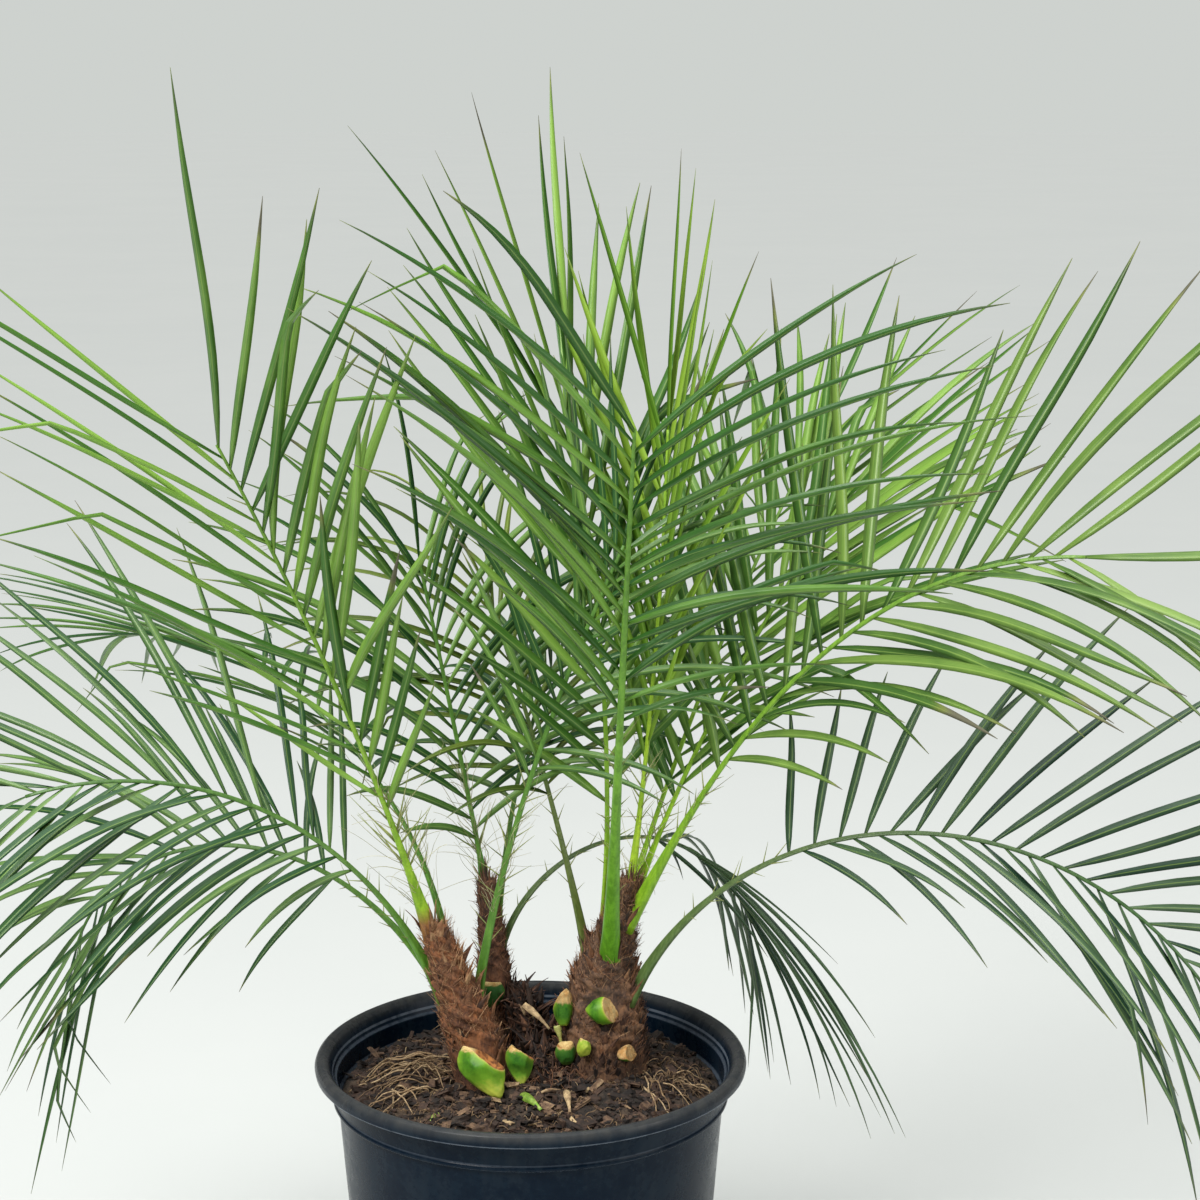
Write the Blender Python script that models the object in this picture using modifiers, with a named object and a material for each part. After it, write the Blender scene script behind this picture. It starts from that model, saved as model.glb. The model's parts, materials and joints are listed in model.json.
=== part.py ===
"""A potted pygmy date palm: three shaggy trunks with feather fronds in a black nursery pot.

Metres, +Z up. The origin is the middle of the pot's underside, +X is to the right and -Y to the front.
"""

from math import cos, pi, radians, sin

import bmesh
import bpy
import numpy as np
from mathutils import Matrix, Vector
from mathutils.bvhtree import BVHTree

# Clearance between pieces that touch, and distance within which points are one
GAP = 0.0003
WELD = 1e-6

# Pot
POT_HEIGHT = 0.241
LIP_RADIUS = 0.140
BAND_TOP_RADIUS = 0.1305
BAND_FOOT_RADIUS = 0.127
BAND_DEPTH = 0.0287
WALL_TOP_RADIUS = 0.125
FOOT_RADIUS = 0.108
FOOT_BEVEL = 0.002
WALL = 0.0023
FLOOR = 0.003
LEDGE_DEPTHS = (0.0115, 0.0250)
LEDGE_STEP = 0.0022
LEDGE_SLANT = 0.001
BAND_EDGE = 0.0008
STEP_RISE = 0.0003
POT_SEGMENTS = 32
DRAIN_HOLES = 6
DRAIN_RADIUS = 0.009
DRAIN_SIDES = 12
DRAIN_CUT_DEPTH = 0.020
DRAIN_CUT_HEIGHT = 0.001

# Lip in section, from its inner side over its crest: distance in from its edge, and below the top
LIP_CURVE = (
    (0.0090, 0.0030),
    (0.0065, 0.0007),
    (0.0035, 0.0000),
    (0.0012, 0.0015),
    (0.0000, 0.0045),
    (0.0006, 0.0085),
    (0.0022, 0.0093),
)

# Soil
SOIL_EDGE = 0.2195
SOIL_EDGE_DROP = 0.0012
SOIL_MOUND = 0.014
SOIL_MOUND_EASE = 0.8
SOIL_RINGS = 6
# Lumps: height, and the waves (radians a metre along X and Y) that are multiplied and then added
SOIL_LUMP = 0.0022
SOIL_WAVES = ((140, 60), (-40, 170), (310, -250))

# Trunks: centre line as (x, y, z) and the radius there, from the buried foot up
TRUNK_SIDES = 12
TRUNK_STEP = 0.0075
RELIEF = 0.0016
RELIEF_START = 0.246
RELIEF_ROWS = 4
RELIEF_PITCH = 0.026
RELIEF_FADE_IN = 0.010
RELIEF_FADE_OUT = 0.015
TRUNKS = {
    "stem_left": (
        (-0.028, -0.022, 0.150, 0.0165),
        (-0.029, -0.022, 0.233, 0.0195),
        (-0.0414, -0.022, 0.277, 0.0160),
        (-0.0525, -0.022, 0.307, 0.0115),
        (-0.0600, -0.0225, 0.3335, 0.0078),
    ),
    "stem_middle": (
        (-0.021, 0.024, 0.150, 0.0125),
        (-0.021, 0.022, 0.226, 0.0145),
        (-0.0227, 0.022, 0.268, 0.0120),
        (-0.0257, 0.022, 0.309, 0.0080),
        (-0.0286, 0.022, 0.350, 0.0060),
    ),
    "stem_right": (
        (0.045, 0.004, 0.150, 0.0270),
        (0.0449, 0.004, 0.233, 0.0315),
        (0.0462, 0.004, 0.268, 0.0255),
        (0.0488, 0.004, 0.302, 0.0185),
        (0.0565, 0.004, 0.325, 0.0112),
        (0.0642, 0.004, 0.3555, 0.0066),
    ),
}

# Form of a cut leaf base: sides and rings of the egg, and how strongly it narrows upwards
LEAF_BASE_SIDES = 8
LEAF_BASE_RINGS = 5
LEAF_BASE_SPAN = 0.5

# Cut leaf bases. Angles are in degrees. size is width, depth and height of the whole egg, taper how much it
# narrows upwards, turn and lean how it is turned about Z after it leans over to the right, and cut the
# tilt and facing of the slanting cut and its distance from the egg's middle.
LEAF_BASES = (
    dict(trunk="stem_left", middle=(-0.0290, -0.0480, 0.2494), size=(0.029, 0.023, 0.036),
         taper=-0.40, turn=-6, lean=-22, cut=(56, 15, 0.006)),
    dict(trunk="stem_left", middle=(-0.0060, -0.0325, 0.2465), size=(0.018, 0.016, 0.025),
         taper=-0.30, turn=10, lean=-8, cut=(46, 15, 0.006)),
    dict(trunk="stem_middle", middle=(-0.0255, 0.0115, 0.2785), size=(0.017, 0.011, 0.023),
         taper=0.20, turn=0, lean=0, cut=(25, 100, 0.005)),
    dict(trunk="stem_right", middle=(0.0210, -0.0085, 0.2760), size=(0.013, 0.013, 0.030),
         taper=0.70, turn=-55, lean=0, cut=(62, 200, 0.003)),
    dict(trunk="stem_right", middle=(0.0490, -0.0220, 0.2770), size=(0.026, 0.016, 0.021),
         taper=0.30, turn=5, lean=0, cut=(64, -40, 0.002)),
    dict(trunk="stem_right", middle=(0.0228, -0.0200, 0.2485), size=(0.013, 0.013, 0.019),
         taper=0.70, turn=-40, lean=0, cut=(45, 250, 0.004)),
    dict(trunk="stem_right", middle=(0.0345, -0.0275, 0.2545), size=(0.009, 0.011, 0.015),
         taper=0.70, turn=-15, lean=0, cut=(50, 250, 0.002)),
    dict(trunk="stem_right", middle=(0.0640, -0.0240, 0.2490), size=(0.017, 0.014, 0.010),
         taper=0.70, turn=35, lean=0, cut=(66, -60, 0.001)),
)

# Fronds. Angles are in degrees. foot is where the stalk starts inside its trunk, heading the way it leans,
# rise its first slope, fall how much of that it loses by the tip and bend how late it does so. bare is the
# share of the rib with no leaflets, and pairs how many it carries. roll turns the blade about the rib and
# lift raises both rows. left and right are the rows on those sides of the rib, seen along it: the angles of
# the first and last leaflets from the rib, how much they droop, and their width as a share of a full one's.
# end is the last leaflets' share of full length, turn the angle to the left of the leaflet that ends the
# rib, and stalk the radius of the stalk's foot.
FRONDS = {
    "frond_left_1": dict(
        foot=(-0.0600, -0.0215, 0.320), heading=-128, rise=68, fall=11, bend=1.0, length=0.383,
        bare=0.27, pairs=17, leaflet=0.225, roll=20, lift=-4,
        left=(32, 32, 0.10, 1.0), right=(52, 30, 0.10, 1.0),
        end=0.98, turn=20, stalk=0.0050),
    "frond_left_2": dict(
        foot=(-0.0540, -0.0220, 0.283), heading=-170, rise=68, fall=84, bend=1.2, length=0.325,
        bare=0.32, pairs=18, leaflet=0.200, roll=-48, lift=5,
        left=(56, 26, 0.65, 0.70), right=(62, 26, 0.30, 0.64),
        end=0.70, turn=6, stalk=0.0038),
    "frond_left_3": dict(
        foot=(-0.0510, -0.0130, 0.279), heading=176, rise=59, fall=134, bend=1.5, length=0.318,
        bare=0.34, pairs=17, leaflet=0.190, roll=-38, lift=0,
        left=(58, 30, 0.70, 0.66), right=(60, 28, 0.40, 0.60),
        end=0.70, turn=-6, stalk=0.0033),
    "frond_left_4": dict(
        foot=(-0.0520, -0.0145, 0.303), heading=138, rise=94, fall=106, bend=0.6, length=0.416,
        bare=0.30, pairs=15, leaflet=0.190, roll=20, lift=10,
        left=(60, 22, 0.30, 0.60), right=(60, 22, 0.45, 0.60),
        end=0.70, turn=8, stalk=0.0030),
    "frond_left_5": dict(
        foot=(-0.0360, -0.0120, 0.262), heading=15, rise=86, fall=22, bend=0.6, length=0.327,
        bare=0.50, pairs=13, leaflet=0.180, roll=60, lift=10,
        left=(45, 24, 0.50, 0.64), right=(60, 26, 0.75, 0.60),
        end=0.70, turn=8, stalk=0.0034),
    "frond_middle_1": dict(
        foot=(-0.0280, 0.0220, 0.338), heading=150, rise=78, fall=2, bend=1.0, length=0.225,
        bare=0.16, pairs=16, leaflet=0.190, roll=-30, lift=10,
        left=(50, 22, 0.60, 0.70), right=(56, 22, 0.90, 0.66),
        end=0.80, turn=-8, stalk=0.0034),
    "frond_middle_2": dict(
        foot=(-0.0240, 0.0270, 0.304), heading=62, rise=77, fall=40, bend=2.0, length=0.200,
        bare=0.46, pairs=9, leaflet=0.165, roll=0, lift=10,
        left=(60, 24, 1.10, 0.62), right=(60, 24, 1.10, 0.62),
        end=0.70, turn=6, stalk=0.0026),
    "frond_middle_3": dict(
        foot=(-0.0215, 0.0262, 0.283), heading=35, rise=97, fall=164, bend=0.7, length=0.286,
        bare=0.56, pairs=12, leaflet=0.210, roll=10, lift=0,
        left=(42, 20, 0.80, 0.62), right=(42, 20, 0.80, 0.62),
        end=0.70, turn=6, stalk=0.0026),
    "frond_right_1": dict(
        foot=(0.0510, -0.0050, 0.299), heading=-86, rise=66, fall=5, bend=1.2, length=0.416,
        bare=0.48, pairs=15, leaflet=0.225, roll=-6, lift=10,
        left=(66, 50, 0.45, 1.0), right=(34, 46, 0.38, 1.0),
        end=0.90, turn=-24, stalk=0.0062),
    "frond_right_2": dict(
        foot=(0.0610, 0.0000, 0.325), heading=-25, rise=62, fall=60, bend=2.0, length=0.413,
        bare=0.30, pairs=17, leaflet=0.235, roll=50, lift=12,
        left=(76, 36, 0.06, 1.06), right=(44, 28, 0.50, 0.86),
        end=0.95, turn=6, stalk=0.0048),
    "frond_right_3": dict(
        foot=(0.0630, -0.0060, 0.276), heading=-15, rise=67, fall=119, bend=1.0, length=0.436,
        bare=0.34, pairs=18, leaflet=0.190, roll=42, lift=12,
        left=(72, 28, 0.20, 0.80), right=(46, 26, 0.50, 0.68),
        end=0.80, turn=6, stalk=0.0038),
    "frond_right_4": dict(
        foot=(0.0380, 0.0100, 0.297), heading=125, rise=71, fall=15, bend=0.7, length=0.262,
        bare=0.42, pairs=13, leaflet=0.180, roll=0, lift=10,
        left=(66, 24, 0.95, 0.62), right=(56, 22, 0.80, 0.62),
        end=0.80, turn=8, stalk=0.0032),
    "frond_right_5": dict(
        foot=(0.0475, 0.0130, 0.308), heading=125, rise=94, fall=28, bend=1.4, length=0.358,
        bare=0.26, pairs=16, leaflet=0.215, roll=0, lift=5,
        left=(45, 12, 0.06, 0.95), right=(45, 12, 0.06, 0.95),
        end=1.00, turn=4, stalk=0.0032),
    "frond_right_6": dict(
        foot=(0.0625, 0.0090, 0.330), heading=25, rise=68, fall=18, bend=1.0, length=0.313,
        bare=0.25, pairs=16, leaflet=0.205, roll=22, lift=8,
        left=(48, 22, 0.25, 0.95), right=(48, 22, 0.25, 0.95),
        end=0.85, turn=-6, stalk=0.0030),
    "frond_right_7": dict(
        foot=(0.0565, 0.0125, 0.318), heading=55, rise=58, fall=16, bend=1.2, length=0.368,
        bare=0.25, pairs=17, leaflet=0.215, roll=-5, lift=5,
        left=(48, 22, 0.20, 0.90), right=(48, 22, 0.20, 0.90),
        end=0.90, turn=5, stalk=0.0030),
    "frond_right_8": dict(
        foot=(0.0635, 0.0040, 0.345), heading=40, rise=80, fall=-8, bend=1.0, length=0.301,
        bare=0.28, pairs=13, leaflet=0.190, roll=0, lift=15,
        left=(30, 13, 0.08, 0.80), right=(30, 13, 0.08, 0.80),
        end=0.90, turn=-4, stalk=0.0030),
}

# Rib of a frond
RIB_STATIONS = 10
RIB_TIP_RADIUS = 0.0011
RIB_BLADE_RADIUS = 0.0020
RIB_CORNER = 1.22
SOCKET_LENGTH = 0.045
# Stalk: share of the rib where its flared foot ends, parts of the foot's radius left there and half way
# to the first leaflets, and how far past those it is slim
FLARE_END = 0.08
FLARE_LEFT = 0.86
MIDDLE_LEFT = 0.70
SLIM_AFTER = 0.05

# Leaflets: sections along stiff and drooping ones, and width and keel depth at shares of the length
STIFF_SECTIONS = (0.0, 0.42)
DROOPING_SECTIONS = (0.0, 0.30, 0.65)
DROOPING_SAG = 0.4
LEAFLET_SHARES = (0.0, 0.30, 0.65, 1.0)
LEAFLET_WIDTHS = (0.0018, 0.0078, 0.0066, 0.0)
LEAFLET_KEELS = (0.0009, 0.0016, 0.0014, 0.0)
ROOT_INSET = 0.15
LOUVRE = 14
JITTER = dict(spread=5.0, lift=9.0, length=0.08)
# Where pairs stand: how far each row is through its pair's stretch, the last pair's share of the rib and
# how they crowd to the tip, and the place and spread of the single leaflet that ends the rib
ROW_OFFSETS = (0.25, 0.75)
PAIRS_END = 0.985
PAIRS_EASE = 0.95
LAST_AT = 0.995
# Growth: first leaflets' share of full length and how fast it is reached, where the tip's leaflets start to
# shorten and how gently, first leaflets' share of full width, and the same at the crowded tip
FIRST_LENGTH = 0.45
GROWTH = 1.6
CLOSING_FROM = 0.6
CLOSING_EASE = 1.5
FIRST_WIDTH = 0.75
CROWDED_FROM = 0.5
CROWDED_WIDTH = 0.75
CLEARANCE = 0.0005
TURN_STEP = 5.0
TURN_RINGS = 7
TURNS_PER_RING = 8
SHORTER = (1.0, 0.85, 0.7, 0.5)

# Materials: colour, roughness, metallic
FINISHES = {
    "pot_black": ((0.012, 0.014, 0.018), 0.42, 0.0),
    "bark_mulch": ((0.060, 0.035, 0.022), 0.95, 0.0),
    "trunk_fibre": ((0.170, 0.065, 0.032), 0.90, 0.0),
    "cut_leaf_base": ((0.170, 0.300, 0.060), 0.60, 0.0),
    "frond_green": ((0.090, 0.220, 0.040), 0.50, 0.0),
}


def clear_scene():
    """Remove every object of the scene."""
    for item in list(bpy.data.objects):
        bpy.data.objects.remove(item, do_unlink=True)


def new_collection(name):
    """A collection linked to the scene."""
    made = bpy.data.collections.new(name)
    bpy.context.scene.collection.children.link(made)
    return made


def finish(name):
    """The named Principled material, made once."""
    if name in bpy.data.materials:
        return bpy.data.materials[name]
    colour, roughness, metallic = FINISHES[name]
    made = bpy.data.materials.new(name)
    made.use_nodes = True
    shader = made.node_tree.nodes["Principled BSDF"]
    shader.inputs["Base Color"].default_value = (*colour, 1.0)
    shader.inputs["Roughness"].default_value = roughness
    shader.inputs["Metallic"].default_value = metallic
    return made


def paint(item, name):
    """Give an object the named material alone."""
    item.data.materials.clear()
    item.data.materials.append(finish(name))


def add_object(name, data, collection):
    """An object for the given mesh or curve, linked to a collection."""
    made = bpy.data.objects.new(name, data)
    collection.objects.link(made)
    return made


def as_mesh(item):
    """The evaluated object as a plain mesh object in its place, with its caps welded."""
    graph = bpy.context.evaluated_depsgraph_get()
    graph.update()
    data = bpy.data.meshes.new_from_object(item.evaluated_get(graph), depsgraph=graph)
    shape = bmesh.new()
    shape.from_mesh(data)
    bmesh.ops.remove_doubles(shape, verts=shape.verts, dist=WELD)
    bmesh.ops.recalc_face_normals(shape, faces=shape.faces)
    shape.to_mesh(data)
    shape.free()
    name, home = item.name, item.users_collection[0]
    bpy.data.objects.remove(item, do_unlink=True)
    return add_object(name, data, home)


def boolean(item, operation, operand, solver="EXACT"):
    """Add and apply a Boolean with an object or a whole collection."""
    step = item.modifiers.new(operation.lower(), "BOOLEAN")
    step.operation = operation
    step.solver = solver
    if isinstance(operand, bpy.types.Collection):
        step.operand_type = "COLLECTION"
        step.collection = operand
    else:
        step.object = operand
    graph = bpy.context.evaluated_depsgraph_get()
    graph.update()
    data = bpy.data.meshes.new_from_object(item.evaluated_get(graph), depsgraph=graph)
    item.modifiers.clear()
    item.data = data


def empty_collection(collection):
    """Remove the objects of a collection and the collection itself."""
    for item in list(collection.objects):
        bpy.data.objects.remove(item, do_unlink=True)
    bpy.data.collections.remove(collection)


def as_cutter(item):
    """Mark a cutter, which is drawn as wire and not built."""
    item.hide_render = True
    item.display_type = "WIRE"
    return item


def smooth(item, angle):
    """Shade smooth with sharp edges above an angle."""
    item.data.shade_smooth()
    item.data.set_sharp_from_angle(angle=radians(angle))


def turned(name, profile, segments, collection):
    """A profile of (radius, height) points turned about Z with a Screw modifier."""
    data = bpy.data.meshes.new(name)
    points = [(radius, 0.0, height) for radius, height in profile]
    data.from_pydata(points, [(k, k + 1) for k in range(len(points) - 1)], [])
    made = add_object(name, data, collection)
    screw = made.modifiers.new("turn", "SCREW")
    screw.steps = segments
    screw.render_steps = segments
    screw.use_merge_vertices = True
    screw.merge_threshold = 1e-5
    return made


def tube(name, points, radii, sides_level, collection, tilt=0.0):
    """A closed tube along points with a radius at each, turned by tilt degrees."""
    data = bpy.data.curves.new(name, "CURVE")
    data.dimensions = "3D"
    data.twist_mode = "MINIMUM"
    data.bevel_depth = 1.0
    data.bevel_resolution = sides_level
    data.use_fill_caps = True
    line = data.splines.new("POLY")
    line.points.add(len(points) - 1)
    for point, place, radius in zip(line.points, points, radii):
        point.co = (*place, 1.0)
        point.radius = float(radius)
        point.tilt = radians(tilt)
    return as_mesh(add_object(name, data, collection))


def inner_wall_radius(height):
    """Radius of the pot's inner wall below its ledges."""
    wall_foot = FOOT_RADIUS - WALL
    wall_top = WALL_TOP_RADIUS - WALL
    share = (height - FLOOR) / (POT_HEIGHT - LEDGE_DEPTHS[1] - FLOOR)
    return wall_foot + (wall_top - wall_foot) * share


def pot_profile():
    """From the middle of the floor up the inner wall, over the lip and down the outer wall."""
    low_ledge = POT_HEIGHT - LEDGE_DEPTHS[1]
    high_ledge = POT_HEIGHT - LEDGE_DEPTHS[0]
    inner_top = inner_wall_radius(low_ledge)
    lip_foot = POT_HEIGHT - LIP_CURVE[-1][1]
    band_foot = POT_HEIGHT - BAND_DEPTH
    inside = [
        (0.0, FLOOR),
        (inner_wall_radius(FLOOR), FLOOR),
        (inner_top, low_ledge - LEDGE_SLANT),
        (inner_top + LEDGE_STEP, low_ledge),
        (inner_top + LEDGE_STEP + LEDGE_SLANT / 2, high_ledge - LEDGE_SLANT),
        (inner_top + 2 * LEDGE_STEP, high_ledge),
    ]
    lip = [(LIP_RADIUS - inwards, POT_HEIGHT - below) for inwards, below in LIP_CURVE]
    outside = [
        (BAND_TOP_RADIUS, lip_foot + STEP_RISE),
        (BAND_FOOT_RADIUS, band_foot + LEDGE_SLANT),
        (BAND_FOOT_RADIUS - BAND_EDGE, band_foot),
        (WALL_TOP_RADIUS, band_foot - STEP_RISE),
        (FOOT_RADIUS, FOOT_BEVEL),
        (FOOT_RADIUS - FOOT_BEVEL, 0.0),
        (0.0, 0.0),
    ]
    return inside + lip + outside


def make_pot(part, cutters):
    """The turned pot, with drain holes through the corner of wall and floor."""
    pot = as_mesh(turned("pot", pot_profile(), POT_SEGMENTS, part))
    for k in range(DRAIN_HOLES):
        turn = 2 * pi * (k + 0.5) / DRAIN_HOLES
        bpy.ops.mesh.primitive_cylinder_add(
            vertices=DRAIN_SIDES, radius=DRAIN_RADIUS, depth=DRAIN_CUT_DEPTH, end_fill_type="NGON",
            location=(FOOT_RADIUS * cos(turn), FOOT_RADIUS * sin(turn), DRAIN_CUT_HEIGHT))
        hole = bpy.context.object
        hole.name = f"drain_hole_{k + 1}"
        hole.users_collection[0].objects.unlink(hole)
        cutters.objects.link(hole)
        boolean(pot, "DIFFERENCE", as_cutter(hole))
    paint(pot, "pot_black")
    smooth(pot, 30)
    return pot


def trunk_line(name):
    """Even stations along a trunk as (points, radii), read from a smooth line through its own points."""
    table = np.array(TRUNKS[name])
    heights = table[:, 2]
    count = int(round((heights[-1] - RELIEF_START) / TRUNK_STEP)) + 1
    above = np.linspace(RELIEF_START, heights[-1], count)
    levels = np.concatenate([[heights[0], 0.5 * (heights[0] + RELIEF_START)], above])
    columns = [np.interp(levels, heights, table[:, k]) for k in (0, 1, 3)]
    for column in columns:
        column[1:-1] = 0.25 * column[:-2] + 0.5 * column[1:-1] + 0.25 * column[2:]
    return np.stack([columns[0], columns[1], levels], axis=1), columns[2]


def add_relief(item, name):
    """Raise old leaf bases on a trunk: staggered bumps that turn up it, none where it is buried."""
    points = trunk_line(name)[0]
    count = len(item.data.vertices)
    places = np.empty(count * 3)
    item.data.vertices.foreach_get("co", places)
    places = places.reshape(-1, 3)
    middle_x = np.interp(places[:, 2], points[:, 2], points[:, 0])
    middle_y = np.interp(places[:, 2], points[:, 2], points[:, 1])
    out = places[:, :2] - np.stack([middle_x, middle_y], axis=1)
    turn = np.arctan2(out[:, 1], out[:, 0])
    height = places[:, 2] - RELIEF_START
    fading = np.clip(height / RELIEF_FADE_IN, 0.0, 1.0)
    fading *= np.clip((points[-1, 2] - places[:, 2]) / RELIEF_FADE_OUT, 0.0, 1.0)
    climb = 2 * pi * height / RELIEF_PITCH
    bump = np.sin(RELIEF_ROWS * turn + climb) * np.cos(2 * climb + 0.5 * RELIEF_ROWS * turn)
    reach = np.linalg.norm(out, axis=1, keepdims=True)
    away = out / np.maximum(reach, WELD)
    places[:, :2] += away * (RELIEF * bump * fading)[:, None]
    item.data.vertices.foreach_set("co", places.ravel())
    shape = bmesh.new()
    shape.from_mesh(item.data)
    bmesh.ops.triangulate(shape, faces=shape.faces, quad_method="FIXED")
    shape.to_mesh(item.data)
    shape.free()


def make_trunk(name, part, grow=0.0):
    """A trunk, or with grow the same form standing out all round for a cutter."""
    points, radii = trunk_line(name)
    first, last = points[1] - points[0], points[-1] - points[-2]
    points[0] -= first * grow / np.linalg.norm(first)
    points[-1] += last * grow / np.linalg.norm(last)
    trunk = tube(name, points, radii + grow, (TRUNK_SIDES - 4) // 2, part)
    add_relief(trunk, name)
    return trunk


def rib_frame(frond, stations=RIB_STATIONS):
    """Points of a frond's rib, with its direction, left side and upper side at each station."""
    along = np.linspace(0.0, 1.0, stations)
    fine = np.linspace(0.0, 1.0, 8 * (stations - 1) + 1)
    slope = np.radians(frond["rise"] - frond["fall"] * fine ** frond["bend"])
    turn = radians(frond["heading"])
    ahead = np.stack([np.cos(slope) * cos(turn), np.cos(slope) * sin(turn), np.sin(slope)], axis=1)
    strides = 0.5 * (ahead[1:] + ahead[:-1]) * frond["length"] / (len(fine) - 1)
    line = np.array(frond["foot"]) + np.concatenate([np.zeros((1, 3)), np.cumsum(strides, axis=0)])
    left = np.array([-sin(turn), cos(turn), 0.0])
    upper = np.cross(ahead, left)
    return along, line[::8], ahead[::8], left, upper[::8]


def rib_radius(frond, along):
    """Radius to the corners of the rib: stout at the foot, slim by the first leaflets, fine at the tip."""
    middle = 0.5 * (frond["bare"] + FLARE_END)
    shares = (0.0, FLARE_END, middle, frond["bare"] + SLIM_AFTER, 1.0)
    foot = frond["stalk"]
    slim = max(RIB_BLADE_RADIUS, 0.5 * foot)
    radii = (foot, FLARE_LEFT * foot, 0.5 * (MIDDLE_LEFT * foot + slim), slim, RIB_TIP_RADIUS)
    return RIB_CORNER * np.interp(along, shares, radii)


def make_rib(name, frond, collection, grow=0.0, reach=None):
    """A frond's rib as a tube, or with grow and reach the socket that its foot needs in the trunk."""
    along, line, ahead = rib_frame(frond)[:3]
    radii = rib_radius(frond, along)
    if reach is not None:
        kept = max(3, int(np.ceil(reach / frond["length"] * (RIB_STATIONS - 1))) + 1)
        line, radii = line[:kept].copy(), radii[:kept]
        line[0] -= ahead[0] * grow
    return tube(name, line, radii + grow, 0, collection, 45 + frond["roll"])


def turned_vector(vector, axis, angle):
    """A vector turned about an axis by an angle in degrees."""
    return np.array(Matrix.Rotation(radians(angle), 3, Vector(axis)) @ Vector(vector))


def leaflet_plan(frond, seed):
    """Root point, direction, width direction, length and droop of each leaflet, from the foot up."""
    draw = np.random.default_rng(seed)
    along, line, ahead, left, upper = rib_frame(frond)
    roll = radians(frond["roll"])
    plans = []
    for k in range(2 * frond["pairs"] + 1):
        last = k == 2 * frond["pairs"]
        row = 1.0 if k % 2 == 0 else -1.0
        share = 1.0 if last else (k // 2 + ROW_OFFSETS[k % 2]) / frond["pairs"]
        at = LAST_AT if last else frond["bare"] + (PAIRS_END - frond["bare"]) * share ** PAIRS_EASE
        here, forth, above = [
            np.array([np.interp(at, along, values[:, c]) for c in range(3)])
            for values in (line, ahead, upper)]
        across = left * cos(roll) + above * sin(roll)
        normal = np.cross(forth, across)
        noise = draw.normal(size=3)
        first_spread, last_spread, sag, breadth = frond["left"] if row > 0 else frond["right"]
        spread = first_spread * (1 - share) + last_spread * share
        spread = radians(frond["turn"] if last else spread + noise[0] * JITTER["spread"])
        lift = radians(frond["lift"] + noise[1] * JITTER["lift"])
        grown = min(FIRST_LENGTH + GROWTH * share, 1.0)
        closing = max(0.0, (share - CLOSING_FROM) / (1 - CLOSING_FROM)) ** CLOSING_EASE
        length = frond["leaflet"] * grown * (1 - (1 - frond["end"]) * closing)
        out = row * across * cos(lift) + normal * sin(lift)
        toward = forth * cos(spread) + out * sin(spread)
        wide = np.cross(normal, toward)
        inset = 0.0 if last else ROOT_INSET * np.interp(at, along, rib_radius(frond, along))
        crowding = max(0.0, (share - CROWDED_FROM) / (1 - CROWDED_FROM))
        width = breadth * (FIRST_WIDTH + (1 - FIRST_WIDTH) * grown)
        plans.append(dict(
            root=here + row * across * inset,
            toward=toward,
            wide=wide / np.linalg.norm(wide),
            row=row,
            length=length * (1 + noise[2] * JITTER["length"]),
            sag=sag,
            sections=DROOPING_SECTIONS if sag >= DROOPING_SAG else STIFF_SECTIONS,
            width=width * (1 - (1 - CROWDED_WIDTH) * crowding)))
    return plans


def leaflet_points(plan, turn=(0.0, 0.0), shorter=1.0, grow=0.0):
    """Points of a leaflet: three-cornered sections, flat above and keeled below, and then its tip."""
    toward = turned_vector(plan["toward"], plan["wide"], turn[0])
    normal = np.cross(toward, plan["wide"])
    toward = turned_vector(toward, normal, turn[1])
    wide = turned_vector(plan["wide"], normal, turn[1])
    wide = turned_vector(wide, toward, LOUVRE * plan["row"])
    droop = plan["sag"] * np.array([0.0, 0.0, -1.0])
    place = plan["root"].copy()
    shares = (*plan["sections"], 1.0)
    points = []
    for share, following in zip(shares, shares[1:]):
        heading = toward + share * droop
        heading /= np.linalg.norm(heading)
        flat = wide - heading * (wide @ heading)
        flat /= np.linalg.norm(flat)
        above = np.cross(heading, flat)
        half = 0.5 * np.interp(share, LEAFLET_SHARES, LEAFLET_WIDTHS) * plan["width"] + grow
        keel = np.interp(share, LEAFLET_SHARES, LEAFLET_KEELS) + grow
        raised = place + above * grow
        points += [raised + flat * half, raised - flat * half, place - above * keel]
        stride = toward + 0.5 * (share + following) * droop
        place = place + stride / np.linalg.norm(stride) * plan["length"] * shorter * (following - share)
    points.append(place + heading * grow)
    return points


def leaflet_faces(sections, first=0):
    """Triangles of a leaflet's surface from one section on, with a cap there and a fan at the tip."""
    base = 3 * first
    tip = 3 * sections
    faces = [(base, base + 1, base + 2)]
    for k in range(first, sections - 1):
        for a, b in ((0, 1), (1, 2), (2, 0)):
            near_a, near_b, far_a, far_b = 3 * k + a, 3 * k + b, 3 * k + 3 + a, 3 * k + 3 + b
            faces += [(near_a, far_a, near_b), (near_b, far_a, far_b)]
    faces += [(tip - 3, tip, tip - 2), (tip - 2, tip, tip - 1), (tip - 1, tip, tip - 3)]
    return faces


def tree_of(points, faces):
    """A search tree with the box of its points, for finding crossings."""
    places = np.array(points)
    tree = BVHTree.FromPolygons([Vector(point) for point in points], faces, all_triangles=True)
    return tree, places.min(axis=0), places.max(axis=0)


def tree_of_object(item):
    """The search tree of an object's mesh."""
    shape = bmesh.new()
    shape.from_mesh(item.data)
    bmesh.ops.triangulate(shape, faces=shape.faces)
    points = [tuple(vert.co) for vert in shape.verts]
    faces = [tuple(vert.index for vert in face.verts) for face in shape.faces]
    shape.free()
    return tree_of(points, faces)


def crosses(candidate, others):
    """Whether one search tree meets any of the others."""
    tree, low, high = candidate
    for other, other_low, other_high in others:
        if np.all(low <= other_high) and np.all(high >= other_low) and tree.overlap(other):
            return True
    return False


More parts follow.
